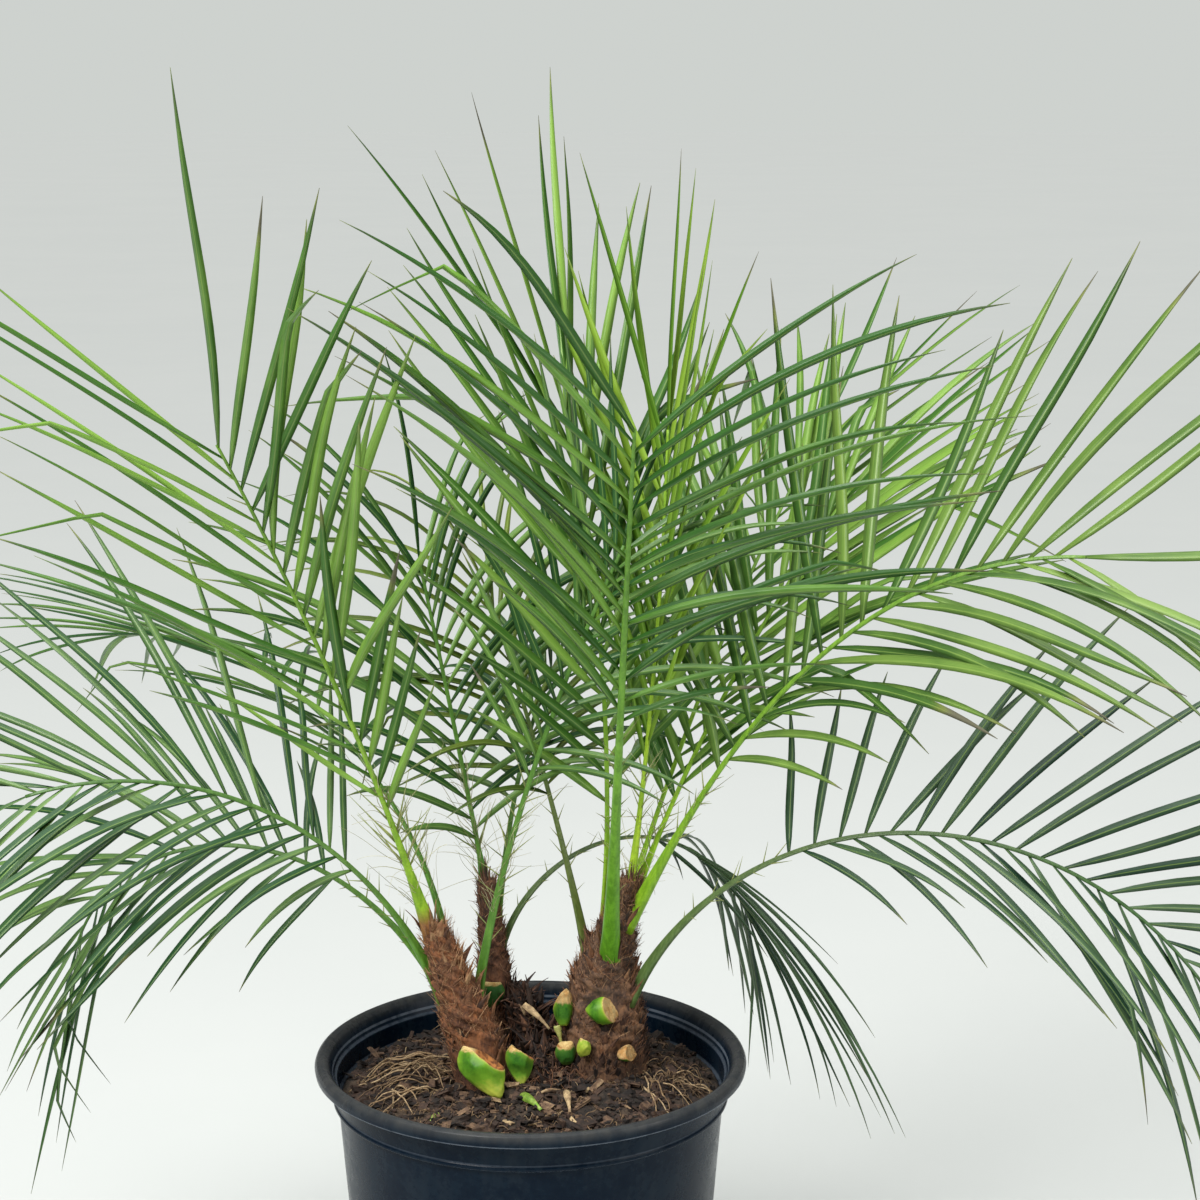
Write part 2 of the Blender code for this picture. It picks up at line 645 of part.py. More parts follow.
def turns_to_try():
    """Turns of a leaflet in degrees, the smallest first."""
    tries = [(0.0, 0.0)]
    for ring in range(1, TURN_RINGS + 1):
        for k in range(TURNS_PER_RING):
            angle = 2 * pi * (k + 0.5 * (ring % 2)) / TURNS_PER_RING
            tries.append((TURN_STEP * ring * cos(angle), TURN_STEP * ring * sin(angle)))
    return tries


def clear_leaflet(plan, solids, siblings):
    """The leaflet bent by the smallest turn that clears all else, or shortened, or None."""
    sections = len(plan["sections"])
    for shorter in SHORTER:
        for turn in turns_to_try():
            fat = leaflet_points(plan, turn, shorter, CLEARANCE)
            if crosses(tree_of(fat, leaflet_faces(sections)), solids):
                continue
            if crosses(tree_of(fat, leaflet_faces(sections, 1)), siblings):
                continue
            return leaflet_points(plan, turn, shorter)
    return None


def make_leaflet(name, points, faces, collection):
    """A leaflet as its own closed blade."""
    data = bpy.data.meshes.new(name)
    data.from_pydata([tuple(point) for point in points], [], faces)
    shape = bmesh.new()
    shape.from_mesh(data)
    bmesh.ops.recalc_face_normals(shape, faces=shape.faces)
    shape.to_mesh(data)
    shape.free()
    return add_object(name, data, collection)


def make_soil(part):
    """Mulch that fills the pot: a turned plug whose top is mounded and lumpy."""
    edge = inner_wall_radius(SOIL_EDGE) - GAP
    low_ledge = POT_HEIGHT - LEDGE_DEPTHS[1]
    foot = FLOOR + GAP
    top = [(edge * k / SOIL_RINGS, SOIL_EDGE) for k in range(SOIL_RINGS)]
    side = [
        (edge, min(SOIL_EDGE, low_ledge - SOIL_EDGE_DROP)),
        (inner_wall_radius(foot) - GAP, foot),
        (0.0, foot),
    ]
    soil = as_mesh(turned("soil", top + side, POT_SEGMENTS, part))
    places = np.empty(len(soil.data.vertices) * 3)
    soil.data.vertices.foreach_get("co", places)
    places = places.reshape(-1, 3)
    x, y = places[:, 0], places[:, 1]
    inside = np.clip(1 - (x ** 2 + y ** 2) / edge ** 2, 0.0, 1.0)
    first, second, third = [x * wave_x + y * wave_y for wave_x, wave_y in SOIL_WAVES]
    lump = np.sin(first) * np.cos(second) + 0.5 * np.sin(third)
    raised = SOIL_MOUND * inside ** SOIL_MOUND_EASE + SOIL_LUMP * lump * np.sqrt(inside)
    on_top = places[:, 2] > SOIL_EDGE - WELD
    places[on_top, 2] += raised[on_top]
    soil.data.vertices.foreach_set("co", places.ravel())
    soil.data.update()
    paint(soil, "bark_mulch")
    return soil


def make_leaf_base(number, row, part, grown_trunks):
    """A clasping leaf base: an egg cut off by a slanting plane, hollowed to fit against its trunk."""
    data = bpy.data.meshes.new(f"leaf_base_{number}")
    shape = bmesh.new()
    bmesh.ops.create_uvsphere(
        shape, u_segments=LEAF_BASE_SIDES, v_segments=LEAF_BASE_RINGS, radius=LEAF_BASE_SPAN)
    for vert in shape.verts:
        vert.co.x *= 1 - row["taper"] * vert.co.z
    bmesh.ops.scale(shape, vec=row["size"], verts=shape.verts)
    tilt, facing = [radians(angle) for angle in row["cut"][:2]]
    normal = Vector((sin(tilt) * cos(facing), sin(tilt) * sin(facing), cos(tilt)))
    geometry = list(shape.verts) + list(shape.edges) + list(shape.faces)
    cut = bmesh.ops.bisect_plane(
        shape, geom=geometry, plane_co=normal * row["cut"][2], plane_no=normal, clear_outer=True)
    rim = [edge for edge in cut["geom_cut"] if isinstance(edge, bmesh.types.BMEdge)]
    bmesh.ops.edgeloop_fill(shape, edges=rim)
    bmesh.ops.recalc_face_normals(shape, faces=shape.faces)
    shape.to_mesh(data)
    shape.free()
    turned_over = Matrix.Rotation(radians(row["turn"]), 4, "Z") @ Matrix.Rotation(radians(row["lean"]), 4, "Y")
    data.transform(Matrix.Translation(row["middle"]) @ turned_over)
    base = add_object(f"leaf_base_{number}", data, part)
    boolean(base, "DIFFERENCE", grown_trunks[row["trunk"]])
    paint(base, "cut_leaf_base")
    return base


def make_trunks(part, cutters):
    """The three trunks with a socket for each frond, and their grown copies for fitting pieces to them."""
    trunks, grown = {}, {}
    for name in TRUNKS:
        trunks[name] = make_trunk(name, part)
        grown[name] = as_cutter(make_trunk(name, cutters, GAP))
        grown[name].name = f"{name}_grown"
    for name, frond in FRONDS.items():
        trunk = trunks[name.replace("frond", "stem").rsplit("_", 1)[0]]
        socket = as_cutter(make_rib(f"{name}_socket", frond, cutters, GAP, SOCKET_LENGTH))
        boolean(trunk, "DIFFERENCE", socket)
    for trunk in trunks.values():
        paint(trunk, "trunk_fibre")
        smooth(trunk, 50)
    return trunks, grown


def make_fronds(part, solids):
    """Every frond: its rib, and leaflets bent clear of all else, joined in one union."""
    ribs = {name: make_rib(name, frond, part) for name, frond in FRONDS.items()}
    rib_trees = {name: tree_of_object(rib) for name, rib in ribs.items()}
    placed = []
    for number, (name, frond) in enumerate(FRONDS.items(), start=1):
        others = solids + [tree for key, tree in rib_trees.items() if key != name] + placed
        leaflets = new_collection(f"{name}_leaflets")
        siblings = []
        for k, plan in enumerate(leaflet_plan(frond, number)):
            points = clear_leaflet(plan, others, siblings)
            if points is not None:
                faces = leaflet_faces(len(plan["sections"]))
                make_leaflet(f"{name}_leaflet_{k + 1}", points, faces, leaflets)
                siblings.append(tree_of(points, faces))
        boolean(ribs[name], "UNION", leaflets, "MANIFOLD")
        empty_collection(leaflets)
        paint(ribs[name], "frond_green")
        placed += siblings


def main():
    """Build the whole plant in its pot."""
    clear_scene()
    part = new_collection("potted_pygmy_date_palm")
    cutters = new_collection("cutters")
    pot = make_pot(part, cutters)
    soil = make_soil(part)
    trunks, grown = make_trunks(part, cutters)
    for trunk in grown.values():
        boolean(soil, "DIFFERENCE", trunk)
    bases = [make_leaf_base(k, row, part, grown) for k, row in enumerate(LEAF_BASES, start=1)]
    solids = [tree_of_object(item) for item in [pot, soil, *trunks.values(), *bases]]
    make_fronds(part, solids)


main()
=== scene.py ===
"""Looks of the potted pygmy date palm: finer pieces, fibres, mulch, roots, threads and finishes."""

import json
from math import cos, pi, radians, sin

import bmesh
import bpy
import numpy as np
from mathutils import Matrix, Vector

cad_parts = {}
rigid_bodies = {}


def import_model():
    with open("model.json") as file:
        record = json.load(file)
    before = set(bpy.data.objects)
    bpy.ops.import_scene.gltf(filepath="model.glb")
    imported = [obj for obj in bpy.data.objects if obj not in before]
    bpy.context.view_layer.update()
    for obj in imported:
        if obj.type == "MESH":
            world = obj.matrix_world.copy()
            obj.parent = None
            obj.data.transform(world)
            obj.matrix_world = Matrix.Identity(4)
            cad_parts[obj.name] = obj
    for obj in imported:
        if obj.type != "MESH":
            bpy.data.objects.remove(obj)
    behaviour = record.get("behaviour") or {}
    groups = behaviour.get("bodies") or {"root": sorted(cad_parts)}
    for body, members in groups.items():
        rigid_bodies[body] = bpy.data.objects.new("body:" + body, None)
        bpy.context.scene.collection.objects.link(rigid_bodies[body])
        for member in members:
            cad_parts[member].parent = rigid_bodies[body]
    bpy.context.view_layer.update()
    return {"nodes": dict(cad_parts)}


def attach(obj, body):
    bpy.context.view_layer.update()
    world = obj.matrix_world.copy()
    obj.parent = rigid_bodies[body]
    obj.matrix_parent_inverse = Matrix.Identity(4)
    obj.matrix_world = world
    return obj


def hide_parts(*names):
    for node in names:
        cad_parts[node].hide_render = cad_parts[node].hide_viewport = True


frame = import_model()

# Pot: the same sizes as its solid
POT_HEIGHT = 0.241
LIP_RADIUS = 0.140
BAND_TOP_RADIUS = 0.1305
BAND_FOOT_RADIUS = 0.127
BAND_DEPTH = 0.0287
WALL_TOP_RADIUS = 0.125
FOOT_RADIUS = 0.108
FOOT_BEVEL = 0.002
WALL = 0.0023
FLOOR = 0.003
LEDGE_DEPTHS = (0.0115, 0.0250)
LEDGE_STEP = 0.0022
LEDGE_SLANT = 0.001
DRAIN_HOLES = 6
DRAIN_RADIUS = 0.009
LIP_CURVE = (
    (0.0090, 0.0030),
    (0.0065, 0.0007),
    (0.0035, 0.0000),
    (0.0012, 0.0015),
    (0.0000, 0.0045),
    (0.0006, 0.0085),
    (0.0022, 0.0093),
)
POT_SIDES = 160
# Heights of painted highlights: pale lines round the lip's lower edge and the band's foot outside, and round
# the ledges inside
HIGHLIGHT_HEIGHTS_OUTSIDE = (0.2324, 0.2123)
HIGHLIGHT_HEIGHTS_INSIDE = (0.2293, 0.2158)

# Soil
GAP = 0.0003
SOIL_EDGE = 0.2195
SOIL_MOUND = 0.014
SOIL_LUMP = 0.0022
SOIL_WAVES = ((140, 60), (-40, 170), (310, -250))
MULCH_REACH = 0.1165
ROOT_REACH = 0.1185

# Heights between which fibres and strips come out of the shade near the soil
SHADE_HEIGHTS = (0.240, 0.285)

# Dead sheaths heaped between the trunks: bells on the soil as (x, y, reach in x, reach in y, height)
HEAPS = (
    (-0.0075, 0.0150, 0.0120, 0.0120, 0.036),
    (0.0030, 0.0020, 0.0150, 0.0170, 0.018),
    (0.0120, -0.0130, 0.0120, 0.0110, 0.009),
)
HEAP_MIDDLE = (0.002, 0.004)
HEAP_REACH = (0.036, 0.038)

# Trunks: centre line as (x, y, z) and the radius there, from the buried foot up
RELIEF = 0.0016
RELIEF_START = 0.246
RELIEF_ROWS = 4
RELIEF_PITCH = 0.026
BASE_SEAT = 0.0016
TRUNKS = {
    "stem_left": (
        (-0.028, -0.022, 0.150, 0.0165),
        (-0.029, -0.022, 0.233, 0.0195),
        (-0.0414, -0.022, 0.277, 0.0160),
        (-0.0525, -0.022, 0.307, 0.0115),
        (-0.0600, -0.0225, 0.3335, 0.0078),
    ),
    "stem_middle": (
        (-0.021, 0.024, 0.150, 0.0125),
        (-0.021, 0.022, 0.226, 0.0145),
        (-0.0227, 0.022, 0.268, 0.0120),
        (-0.0257, 0.022, 0.309, 0.0080),
        (-0.0286, 0.022, 0.350, 0.0060),
    ),
    "stem_right": (
        (0.045, 0.004, 0.150, 0.0270),
        (0.0449, 0.004, 0.233, 0.0315),
        (0.0462, 0.004, 0.268, 0.0255),
        (0.0488, 0.004, 0.302, 0.0185),
        (0.0565, 0.004, 0.325, 0.0112),
        (0.0642, 0.004, 0.3555, 0.0066),
    ),
}

# Cut leaf bases: the first two on the left trunk, one on the middle trunk and five on the right one. Angles
# are in degrees. size is width, depth and height of the whole egg, taper how much it narrows upwards, turn
# and lean how it is turned about Z after it leans over to the right, and cut the tilt and facing of the
# slanting cut and its distance from the egg's middle. toe is where its lowest point is drawn to, hollow the
# depth of the cut face, pale the share of that face, from its high side, that is still cream, peel how far
# down from the top the skin is off, brown how tanned the pale parts are, shade how deep a green the skin is,
# and pallor how high above the soil it has turned yellow.
LEAF_BASES = (
    dict(middle=(-0.0290, -0.0480, 0.2494), size=(0.029, 0.023, 0.036),
         taper=-0.40, turn=-6, lean=-22, cut=(56, 15, 0.006),
         toe=(0.0080, -0.0090, -0.0010), hollow=0.0055, pale=0.16, peel=0.10, brown=0.0, shade=0.10,
         pallor=0.0230),
    dict(middle=(-0.0060, -0.0325, 0.2465), size=(0.018, 0.016, 0.025),
         taper=-0.30, turn=10, lean=-8, cut=(46, 15, 0.006),
         toe=(0.0000, -0.0060, -0.0010), hollow=0.0040, pale=0.16, peel=0.13, brown=0.1, shade=0.30,
         pallor=0.0140),
    dict(middle=(-0.0255, 0.0115, 0.2785), size=(0.017, 0.011, 0.023),
         taper=0.20, turn=0, lean=0, cut=(25, 100, 0.005),
         toe=(0.0, -0.0010, 0.0), hollow=0.0010, pale=0.60, peel=0.16, brown=0.2, shade=0.75, pallor=0.0050),
    dict(middle=(0.0210, -0.0085, 0.2760), size=(0.013, 0.013, 0.030),
         taper=0.70, turn=-55, lean=0, cut=(62, 200, 0.003),
         toe=(0.0, -0.0030, 0.0), hollow=0.0030, pale=0.40, peel=0.36, brown=0.45, shade=0.20, pallor=0.0050),
    dict(middle=(0.0490, -0.0220, 0.2770), size=(0.029, 0.017, 0.018),
         taper=0.30, turn=5, lean=-6, cut=(70, -28, 0.003),
         toe=(0.0, 0.0, 0.0), hollow=0.0008, pale=1.00, peel=0.0, brown=0.45, shade=0.05, pallor=0.0050),
    dict(middle=(0.0228, -0.0200, 0.2485), size=(0.013, 0.013, 0.019),
         taper=0.60, turn=-40, lean=0, cut=(9, 250, 0.0052),
         toe=(0.0, 0.0, 0.0), hollow=0.0015, pale=0.80, peel=0.20, brown=0.20, shade=0.55, pallor=0.0080),
    dict(middle=(0.0345, -0.0275, 0.2545), size=(0.009, 0.011, 0.015),
         taper=0.70, turn=-15, lean=0, cut=(35, 60, 0.004),
         toe=(0.0, 0.0, 0.0), hollow=0.0010, pale=0.90, peel=0.10, brown=-0.5, shade=0.00, pallor=0.0700),
    dict(middle=(0.0640, -0.0240, 0.2490), size=(0.017, 0.014, 0.010),
         taper=0.70, turn=35, lean=0, cut=(66, -60, 0.001),
         toe=(0.0, 0.0, 0.0), hollow=0.0006, pale=1.00, peel=0.70, brown=0.60, shade=0.30, pallor=0.0050),
)
BASE_SIDES = 64
SKIN_ROWS = 30
FACE_ROWS = 10

# Torn sheaths and offcuts are strips
STRIP_ROWS = 8
STRIP_THICKNESS = 0.00035

# Fronds, as in their solids, and the finish of each. Angles are in degrees. foot is where the stalk starts
# inside its trunk, heading the way it leans, rise its first slope, fall how much of that it loses by the
# tip and bend how late it does so. bare is the share of the rib with no leaflets, and pairs how many it
# carries. roll turns the blade about the rib and lift raises both rows. left and right are the rows on
# those sides of the rib, seen along it: the angles of the first and last leaflets from the rib, how much
# they droop, and their width as a share of a full one's. end is the last leaflets' share of full length,
# turn the angle to the left of the leaflet that ends the rib, and stalk the radius of the stalk's foot.
FRONDS = {
    "frond_left_1": dict(
        foot=(-0.0600, -0.0215, 0.320), heading=-128, rise=68, fall=11, bend=1.0, length=0.383,
        bare=0.27, pairs=17, leaflet=0.225, roll=20, lift=-4,
        left=(32, 32, 0.10, 1.0), right=(52, 30, 0.10, 1.0),
        end=0.98, turn=20, stalk=0.0050, tone="young"),
    "frond_left_2": dict(
        foot=(-0.0540, -0.0220, 0.283), heading=-170, rise=68, fall=84, bend=1.2, length=0.325,
        bare=0.32, pairs=18, leaflet=0.200, roll=-48, lift=5,
        left=(56, 26, 0.65, 0.70), right=(62, 26, 0.30, 0.64),
        end=0.70, turn=6, stalk=0.0038, tone="worn"),
    "frond_left_3": dict(
        foot=(-0.0510, -0.0130, 0.279), heading=176, rise=59, fall=134, bend=1.5, length=0.318,
        bare=0.34, pairs=17, leaflet=0.190, roll=-38, lift=0,
        left=(58, 30, 0.70, 0.66), right=(60, 28, 0.40, 0.60),
        end=0.70, turn=-6, stalk=0.0033, tone="worn"),
    "frond_left_4": dict(
        foot=(-0.0520, -0.0145, 0.303), heading=138, rise=94, fall=106, bend=0.6, length=0.416,
        bare=0.30, pairs=15, leaflet=0.190, roll=20, lift=10,
        left=(60, 22, 0.30, 0.60), right=(60, 22, 0.45, 0.60),
        end=0.70, turn=8, stalk=0.0030, tone="mature"),
    "frond_left_5": dict(
        foot=(-0.0360, -0.0120, 0.262), heading=15, rise=86, fall=22, bend=0.6, length=0.327,
        bare=0.50, pairs=13, leaflet=0.180, roll=60, lift=10,
        left=(45, 24, 0.50, 0.64), right=(60, 26, 0.75, 0.60),
        end=0.70, turn=8, stalk=0.0034, tone="mature"),
    "frond_middle_1": dict(
        foot=(-0.0280, 0.0220, 0.338), heading=150, rise=78, fall=2, bend=1.0, length=0.225,
        bare=0.16, pairs=16, leaflet=0.190, roll=-30, lift=10,
        left=(50, 22, 0.60, 0.70), right=(56, 22, 0.90, 0.66),
        end=0.80, turn=-8, stalk=0.0034, tone="mature"),
    "frond_middle_2": dict(
        foot=(-0.0240, 0.0270, 0.304), heading=62, rise=77, fall=40, bend=2.0, length=0.200,
        bare=0.46, pairs=9, leaflet=0.165, roll=0, lift=10,
        left=(60, 24, 1.10, 0.62), right=(60, 24, 1.10, 0.62),
        end=0.70, turn=6, stalk=0.0026, tone="worn"),
    "frond_middle_3": dict(
        foot=(-0.0215, 0.0262, 0.283), heading=35, rise=97, fall=164, bend=0.7, length=0.286,
        bare=0.56, pairs=12, leaflet=0.210, roll=10, lift=0,
        left=(42, 20, 0.80, 0.62), right=(42, 20, 0.80, 0.62),
        end=0.70, turn=6, stalk=0.0026, tone="old"),
    "frond_right_1": dict(
        foot=(0.0510, -0.0050, 0.299), heading=-86, rise=66, fall=5, bend=1.2, length=0.416,
        bare=0.48, pairs=15, leaflet=0.225, roll=-6, lift=10,
        left=(66, 50, 0.45, 1.0), right=(34, 46, 0.38, 1.0),
        end=0.90, turn=-24, stalk=0.0062, tone="fresh"),
    "frond_right_2": dict(
        foot=(0.0610, 0.0000, 0.325), heading=-25, rise=62, fall=60, bend=2.0, length=0.413,
        bare=0.30, pairs=17, leaflet=0.235, roll=50, lift=12,
        left=(76, 36, 0.06, 1.06), right=(44, 28, 0.50, 0.86),
        end=0.95, turn=6, stalk=0.0048, tone="clear"),
    "frond_right_3": dict(
        foot=(0.0630, -0.0060, 0.276), heading=-15, rise=67, fall=119, bend=1.0, length=0.436,
        bare=0.34, pairs=18, leaflet=0.190, roll=42, lift=12,
        left=(72, 28, 0.20, 0.80), right=(46, 26, 0.50, 0.68),
        end=0.80, turn=6, stalk=0.0038, tone="old"),
    "frond_right_4": dict(
        foot=(0.0380, 0.0100, 0.297), heading=125, rise=71, fall=15, bend=0.7, length=0.262,
        bare=0.42, pairs=13, leaflet=0.180, roll=0, lift=10,
        left=(66, 24, 0.95, 0.62), right=(56, 22, 0.80, 0.62),
        end=0.80, turn=8, stalk=0.0032, tone="olive"),
    "frond_right_5": dict(
        foot=(0.0475, 0.0130, 0.308), heading=125, rise=94, fall=28, bend=1.4, length=0.358,
        bare=0.26, pairs=16, leaflet=0.215, roll=0, lift=5,
        left=(45, 12, 0.06, 0.95), right=(45, 12, 0.06, 0.95),
        end=1.00, turn=4, stalk=0.0032, tone="young"),
    "frond_right_6": dict(
        foot=(0.0625, 0.0090, 0.330), heading=25, rise=68, fall=18, bend=1.0, length=0.313,
        bare=0.25, pairs=16, leaflet=0.205, roll=22, lift=8,
        left=(48, 22, 0.25, 0.95), right=(48, 22, 0.25, 0.95),
        end=0.85, turn=-6, stalk=0.0030, tone="young"),
    "frond_right_7": dict(
        foot=(0.0565, 0.0125, 0.318), heading=55, rise=58, fall=16, bend=1.2, length=0.368,
        bare=0.25, pairs=17, leaflet=0.215, roll=-5, lift=5,
        left=(48, 22, 0.20, 0.90), right=(48, 22, 0.20, 0.90),
        end=0.90, turn=5, stalk=0.0030, tone="young"),
    "frond_right_8": dict(
        foot=(0.0635, 0.0040, 0.345), heading=40, rise=80, fall=-8, bend=1.0, length=0.301,
        bare=0.28, pairs=13, leaflet=0.190, roll=0, lift=15,
        left=(30, 13, 0.08, 0.80), right=(30, 13, 0.08, 0.80),
        end=0.90, turn=-4, stalk=0.0030, tone="lime"),
}

# Rib and leaflets, as in their solids
RIB_STATIONS = 10
RIB_TIP_RADIUS = 0.0011
RIB_BLADE_RADIUS = 0.0020
FLARE_END = 0.08
FLARE_LEFT = 0.86
MIDDLE_LEFT = 0.70
SLIM_AFTER = 0.05
STIFF_SECTIONS = (0.0, 0.42)
DROOPING_SECTIONS = (0.0, 0.30, 0.65)
DROOPING_SAG = 0.4
ROOT_INSET = 0.15
RIB_CORNER = 1.22
LOUVRE = 14
JITTER = dict(spread=5.0, lift=9.0, length=0.08)
ROW_OFFSETS = (0.25, 0.75)
PAIRS_END = 0.985
PAIRS_EASE = 0.95
LAST_AT = 0.995
FIRST_LENGTH = 0.45
GROWTH = 1.6
CLOSING_FROM = 0.6
CLOSING_EASE = 1.5
FIRST_WIDTH = 0.75
CROWDED_FROM = 0.5
CROWDED_WIDTH = 0.75
TURN_STEP = 5.0
TURN_RINGS = 7
TURNS_PER_RING = 8
SHORTER = (1.0, 0.85, 0.7, 0.5)

# Longest spine on a stalk, where it isn't the usual 14 mm: round the crowns the lowest leaflets are spines
SPINES = {
    "frond_left_1": 0.036,
    "frond_left_4": 0.024,
    "frond_left_5": 0.022,
    "frond_middle_1": 0.044,
    "frond_middle_2": 0.026,
    "frond_right_2": 0.018,
    "frond_right_6": 0.022,
    "frond_right_8": 0.024,
}

# Leaflets and stalks a little slimmer than their solids, and painted shade on the rows on the left of the
# rib: their tint lowered towards the darker green
NARROWER = {"frond_left_1": 0.86}
SLIMMER = {"frond_left_1": 0.86, "frond_right_1": 0.84}
SHADED_ROWS = {"frond_right_1": 0.45, "frond_left_5": 0.25}

# Blade of a leaflet in detail: width and fold at shares of its length
BLADE_SHARES = (0.0, 0.05, 0.14, 0.30, 0.52, 0.72, 0.87, 0.96, 1.0)
BLADE_WIDTHS = (0.0024, 0.0044, 0.0066, 0.0080, 0.0076, 0.0060, 0.0034, 0.0014, 0.0004)
BLADE_FOLDS = (0.0008, 0.0013, 0.0017, 0.0018, 0.0016, 0.0012, 0.0007, 0.0003, 0.0001)
BLADE_THICKNESS = 0.00045
BLADE_SECTIONS = 14
RIB_SLIMMED = 0.66


# Noise and small vector helpers


def unit(vectors):
    """Vectors divided by their lengths."""
    return vectors / np.maximum(np.linalg.norm(vectors, axis=-1, keepdims=True), 1e-12)


def spun(vectors, axes, angles):
    """Vectors turned about unit axes by angles in radians: v cos + (k x v) sin + k (k.v)(1 - cos)."""
    angles = np.asarray(angles)[..., None]
    along = axes * np.sum(axes * vectors, axis=-1, keepdims=True)
    turned = vectors * np.cos(angles) + np.cross(axes, vectors) * np.sin(angles)
    return turned + along * (1 - np.cos(angles))


def lattice(cells, seed):
    """A number from 0 to 1 for each whole-number cell: its coordinates multiplied by primes and mixed."""
    x, y, z = np.moveaxis(cells, -1, 0)
    mixed = x * 374761393 + y * 668265263 + z * 2147483647 + seed * 974634777
    mixed = mixed.astype(np.int64) & 0xFFFFFFFF
    mixed = ((mixed ^ (mixed >> 13)) * 1274126177) & 0xFFFFFFFF
    return ((mixed ^ (mixed >> 16)) & 0xFFFFFF) / float(0xFFFFFF)


def noise(points, scale, seed, octaves):
    """Soft noise from -1 to 1: lattice numbers blended across cells, each octave half as large and strong."""
    total, strength, whole = 0.0, 1.0, 0.0
    for octave in range(octaves):
        place = np.asarray(points) * scale * 2 ** octave
        cell = np.floor(place).astype(np.int64)
        part = place - cell
        part = part * part * (3 - 2 * part)
        value = 0.0
        for corner in np.ndindex(2, 2, 2):
            corner = np.array(corner)
            weight = np.prod(np.where(corner == 1, part, 1 - part), axis=-1)
            value = value + weight * lattice(cell + corner, seed + 17 * octave)
        total = total + strength * (2 * value - 1)
        whole += strength
        strength *= 0.5
    return total / whole


def full_circle(sides):
    """Turns in radians, evenly round a circle."""
    return 2 * pi * np.arange(sides) / sides


# Mesh helpers


def grid_faces(rows, columns, wrap=False):
    """Quads between neighbours of a grid stored row by row; wrap joins its last column to its first."""
    row = np.arange(rows - 1)[:, None]
    column = np.arange(columns if wrap else columns - 1)[None, :]
    near = row * columns + column
    following = row * columns + (column + 1) % columns
    return np.stack([near, following, following + columns, near + columns], axis=-1).reshape(-1, 4)


def repeated(faces, copies, size):
    """The faces of one form for many copies of it, each of so many points."""
    return (faces[None] + (np.arange(copies) * size)[:, None, None]).reshape(-1, faces.shape[1])


def tube_faces(rings, sides, copies=1):
    """The walls and both caps of closed tubes, each stored ring by ring."""
    size = rings * sides
    walls = repeated(grid_faces(rings, sides, wrap=True), copies, size)
    caps = [repeated(np.array([first + np.arange(sides)]), copies, size) for first in (0, size - sides)]
    return [walls, *caps]


def add_piece(name, points, faces, finishes, values=None, which=None, weld=True, flat=False):
    """A piece from points, arrays of faces and finishes; values are numbers per point that finishes read."""
    points = np.asarray(points, dtype=np.float64).reshape(-1, 3)
    faces = [np.asarray(part) for part in faces]
    corners = np.concatenate([part.ravel() for part in faces])
    sizes = np.concatenate([np.full(len(part), part.shape[1]) for part in faces])
    data = bpy.data.meshes.new(name)
    data.vertices.add(len(points))
    data.vertices.foreach_set("co", points.astype(np.float32).ravel())
    data.loops.add(len(corners))
    data.loops.foreach_set("vertex_index", corners.astype(np.int32))
    data.polygons.add(len(sizes))
    starts = np.concatenate([[0], np.cumsum(sizes)[:-1]])
    data.polygons.foreach_set("loop_start", starts.astype(np.int32))
    if which is not None:
        data.polygons.foreach_set("material_index", np.asarray(which, dtype=np.int32))
    data.update(calc_edges=True)
    for key, numbers in (values or {}).items():
        layer = data.attributes.new(key, "FLOAT", "POINT")
        layer.data.foreach_set("value", np.asarray(numbers, dtype=np.float32).ravel())
    shape = bmesh.new()
    shape.from_mesh(data)
    if weld:
        bmesh.ops.remove_doubles(shape, verts=shape.verts, dist=2e-7)
    bmesh.ops.recalc_face_normals(shape, faces=shape.faces)
    for face in shape.faces:
        face.smooth = not flat
    shape.to_mesh(data)
    shape.free()
    for item in finishes:
        data.materials.append(item)
    piece = bpy.data.objects.new(name, data)
    bpy.context.scene.collection.objects.link(piece)
    return piece


def settle(piece, slot_name, *nodes):
    """Fix a piece to the object and hide the solids that it stands for. Its slot_name is not used."""
    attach(piece, "root")
    if nodes:
        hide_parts(*nodes)


def strands(lines, radii, sides):
    """Closed tubes along many lines at once: at each station a ring square to the line.

    lines is (strands, stations, 3), radii (strands, stations). Gives points, faces and each point's strand.
    """
    count, stations = radii.shape
    ahead = unit(np.gradient(lines, axis=1))
    aside = np.eye(3)[np.argmin(np.abs(ahead.mean(axis=1)), axis=1)][:, None, :]
    across = unit(np.cross(ahead, aside))
    above = np.cross(ahead, across)
    turn = full_circle(sides)
    ring = across[:, :, None] * np.cos(turn)[:, None] + above[:, :, None] * np.sin(turn)[:, None]
    points = lines[:, :, None] + ring * radii[:, :, None, None]
    owner = np.repeat(np.arange(count), stations * sides)
    return points.reshape(-1, 3), tube_faces(stations, sides, count), owner


# Shader helpers


def set_socket(tree, target, value):
    """Set a socket to a number, a vector or a colour's red, green and blue, or link another socket to it."""
    if isinstance(value, bpy.types.NodeSocket):
        tree.links.new(value, target)
    elif target.type == "RGBA":
        target.default_value = (*value, 1.0)
    else:
        target.default_value = value


def set_sockets(tree, targets, values):
    """Set or link sockets by their names or numbers."""
    for key, value in values.items():
        set_socket(tree, targets[key], value)


def add_node(tree, kind, inputs=None, **settings):
    """A shader node with its settings and its inputs set or linked."""
    made = tree.nodes.new(kind)
    for key, value in settings.items():
        setattr(made, key, value)
    set_sockets(tree, made.inputs, inputs or {})
    return made


def maths(tree, operation, *values):
    """One step of arithmetic on numbers or sockets."""
    return add_node(tree, "ShaderNodeMath", dict(enumerate(values)), operation=operation).outputs[0]


def times(tree, first, second):
    """The product of two numbers or sockets."""
    return maths(tree, "MULTIPLY", first, second)


def plus(tree, first, second):
    """The sum of two numbers or sockets."""
    return maths(tree, "ADD", first, second)


def minus(tree, first, second):
    """The first number or socket less the second."""
    return maths(tree, "SUBTRACT", first, second)


